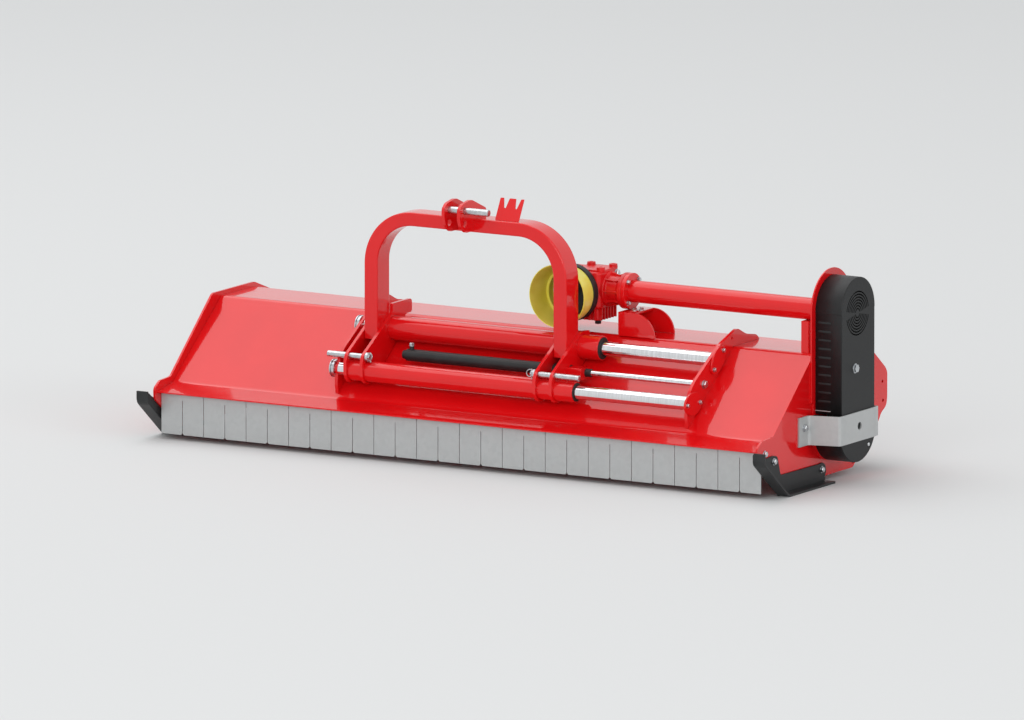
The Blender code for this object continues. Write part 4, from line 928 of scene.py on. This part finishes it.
def make_gearbox_support():
    """Gearbox support: two quarter-round cheeks, with a flat plate between them at foot and top."""
    floor, top, plate = 0.4628, SADDLE_Z, 0.008
    near_x, far_x = 0.422, 0.487
    cheek = np.concatenate([[(near_x, floor), (near_x, top)],
                            corner_arc((far_x, floor), top - floor, 90, 0, 32)])
    shapes = [pierced(cheek, [], low, low + plate, "Y") for low in (0.326, 0.466)]
    between = oblong((near_x, far_x), (0.332, 0.468))
    shapes += [slab(between, low, low + plate, "Z", 0.0004) for low in (floor, top - plate)]
    piece("gearbox_support_cheeks", shapes, "casing", "red_paint", ("gearbox_support",), edge=0.0012)


def make_back_plate():
    """Plate behind the belt drive: a half circle above, a smaller one below, pierced for both shafts."""
    side_y, top_r, foot_r = DRIVE_YZ[0], 0.145, GUARD_R + 0.002
    shoulder_z, foot_z = 0.300, 0.297
    outline = np.concatenate([
        corner_arc((side_y, COVER_TOP_Z), top_r, 0, 180, 48),
        [(side_y - top_r, shoulder_z), (side_y - foot_r, foot_z)],
        corner_arc(ROTOR_YZ, foot_r, 180, 360, 48),
        [(side_y + foot_r, foot_z), (side_y + top_r, shoulder_z)]])
    holes = [circle(DRIVE_YZ, 0.0180), circle(ROTOR_YZ, 0.0256)]
    piece("belt_drive_back_plate", pierced(outline, holes, *BACK_X, "X"), "casing", "red_paint",
          ("drive_back_plate",), edge=0.0012)


def make_support_bolts():
    """Bolts on the gearbox support's saddle, and those that hold the strap to the side plate."""
    heads = bolts([(0.457, 0.385, SADDLE_Z), (0.474, 0.405, SADDLE_Z)], (0, 0, 1), 0.015, 0.008)
    heads += bolts([(OUTER_X + SEAT + STRAP, y, 0.2190) for y in (0.205, 0.595)], (1, 0, 0), 0.021, 0.010)
    piece("support_and_bracket_bolts", heads, "casing", "zinc_plate")


def make_floor():
    """Pale matt paper just under the skids, wide enough to fill the picture."""
    half, below = 60.0, 0.0005
    mesh = bpy.data.meshes.new("studio_floor")
    corners = [(x, y, 0) for x, y in oblong((-half, half), (-half, half))]
    mesh.from_pydata(corners, [], [(0, 1, 2, 3)])
    floor = new_object("studio_floor", mesh)
    floor.location.z = -below
    paper, _, _ = new_finish("studio_floor_paper", {
        "Base Color": linear("dadbdb"), "Roughness": 0.85, "Specular IOR Level": 0.1})
    mesh.materials.append(paper)


def make_air():
    """Light from all round, a little brighter to the camera and in reflections than as it lights."""
    world = bpy.data.worlds.new("studio_air")
    world.use_nodes = True
    bpy.context.scene.world = world
    tree = world.node_tree
    background = tree.nodes["Background"]
    background.inputs["Color"].default_value = linear("f2f3f4")
    path = add_node(tree, "ShaderNodeLightPath")
    seen = add_node(tree, "ShaderNodeMath", [(0, path, "Is Camera Ray"), (1, path, "Is Glossy Ray")],
                    operation="MAXIMUM")
    seen = add_node(tree, "ShaderNodeMath", [(0, seen, "Value"), (1, path, "Is Transmission Ray")],
                    operation="MAXIMUM")
    level = add_node(tree, "ShaderNodeMapRange", [("Value", seen, "Value")],
                     {"To Min": 0.78, "To Max": 0.92})
    tree.links.new(level.outputs["Result"], background.inputs["Strength"])


def soft_box(name, place, aim, size, power):
    """A rectangular lamp that looks from its place to an aim and that the camera doesn't see."""
    lamp = bpy.data.lights.new(name, "AREA")
    lamp.shape = "RECTANGLE"
    lamp.size, lamp.size_y = size
    lamp.energy = power
    item = new_object(name, lamp)
    item.location = place
    item.rotation_euler = (Vector(aim) - Vector(place)).to_track_quat("-Z", "Y").to_euler()
    item.visible_camera = False


def make_camera():
    """A long lens at the photograph's angle: right of the front, a little above, and 100 m away."""
    data = bpy.data.cameras.new("studio_camera")
    data.lens = 977.4
    data.clip_end = 400.0
    camera = new_object("studio_camera", data)
    azimuth, elevation, distance = np.radians(30.5), np.radians(9.8), 100.0
    aim = Vector((-0.0575, 0.0025, 0.334))
    away = Vector((np.sin(azimuth) * np.cos(elevation), -np.cos(azimuth) * np.cos(elevation),
                   np.sin(elevation)))
    camera.location = aim + away * distance
    camera.rotation_euler = (-away).to_track_quat("-Z", "Y").to_euler()
    bpy.context.scene.camera = camera


make_casing()
make_side_plates()
make_bar_supports()
make_hitch_plates()
make_slide()
make_arch()
make_sleeves()
make_shift_cylinder()
make_pins()
make_skids()
make_hose_comb()
make_drive_tube()
make_shaft_guard()
make_belt_cover()
make_lower_guard()
make_strap()
make_gearbox()
make_gearbox_support()
make_back_plate()
make_support_bolts()
for node, original in frame["nodes"].items():
    if not original.hide_render:
        dressed(node, 0.0008 if "flap" in node else 0.0012)
make_floor()
make_air()
soft_box("overhead_box", (-6.4, 0.8, 12.7), (0, 0, 0.3), (16.0, 12.0), 800)
soft_box("front_box", (6.0, -18.0, 7.9), (0, 0, 0.3), (12.0, 8.0), 1000)
soft_box("right_box", (18.5, -2.0, 7.1), (0.5, 0, 0.3), (8.0, 8.0), 480)
make_camera()
bpy.context.scene.view_settings.view_transform = "Standard"
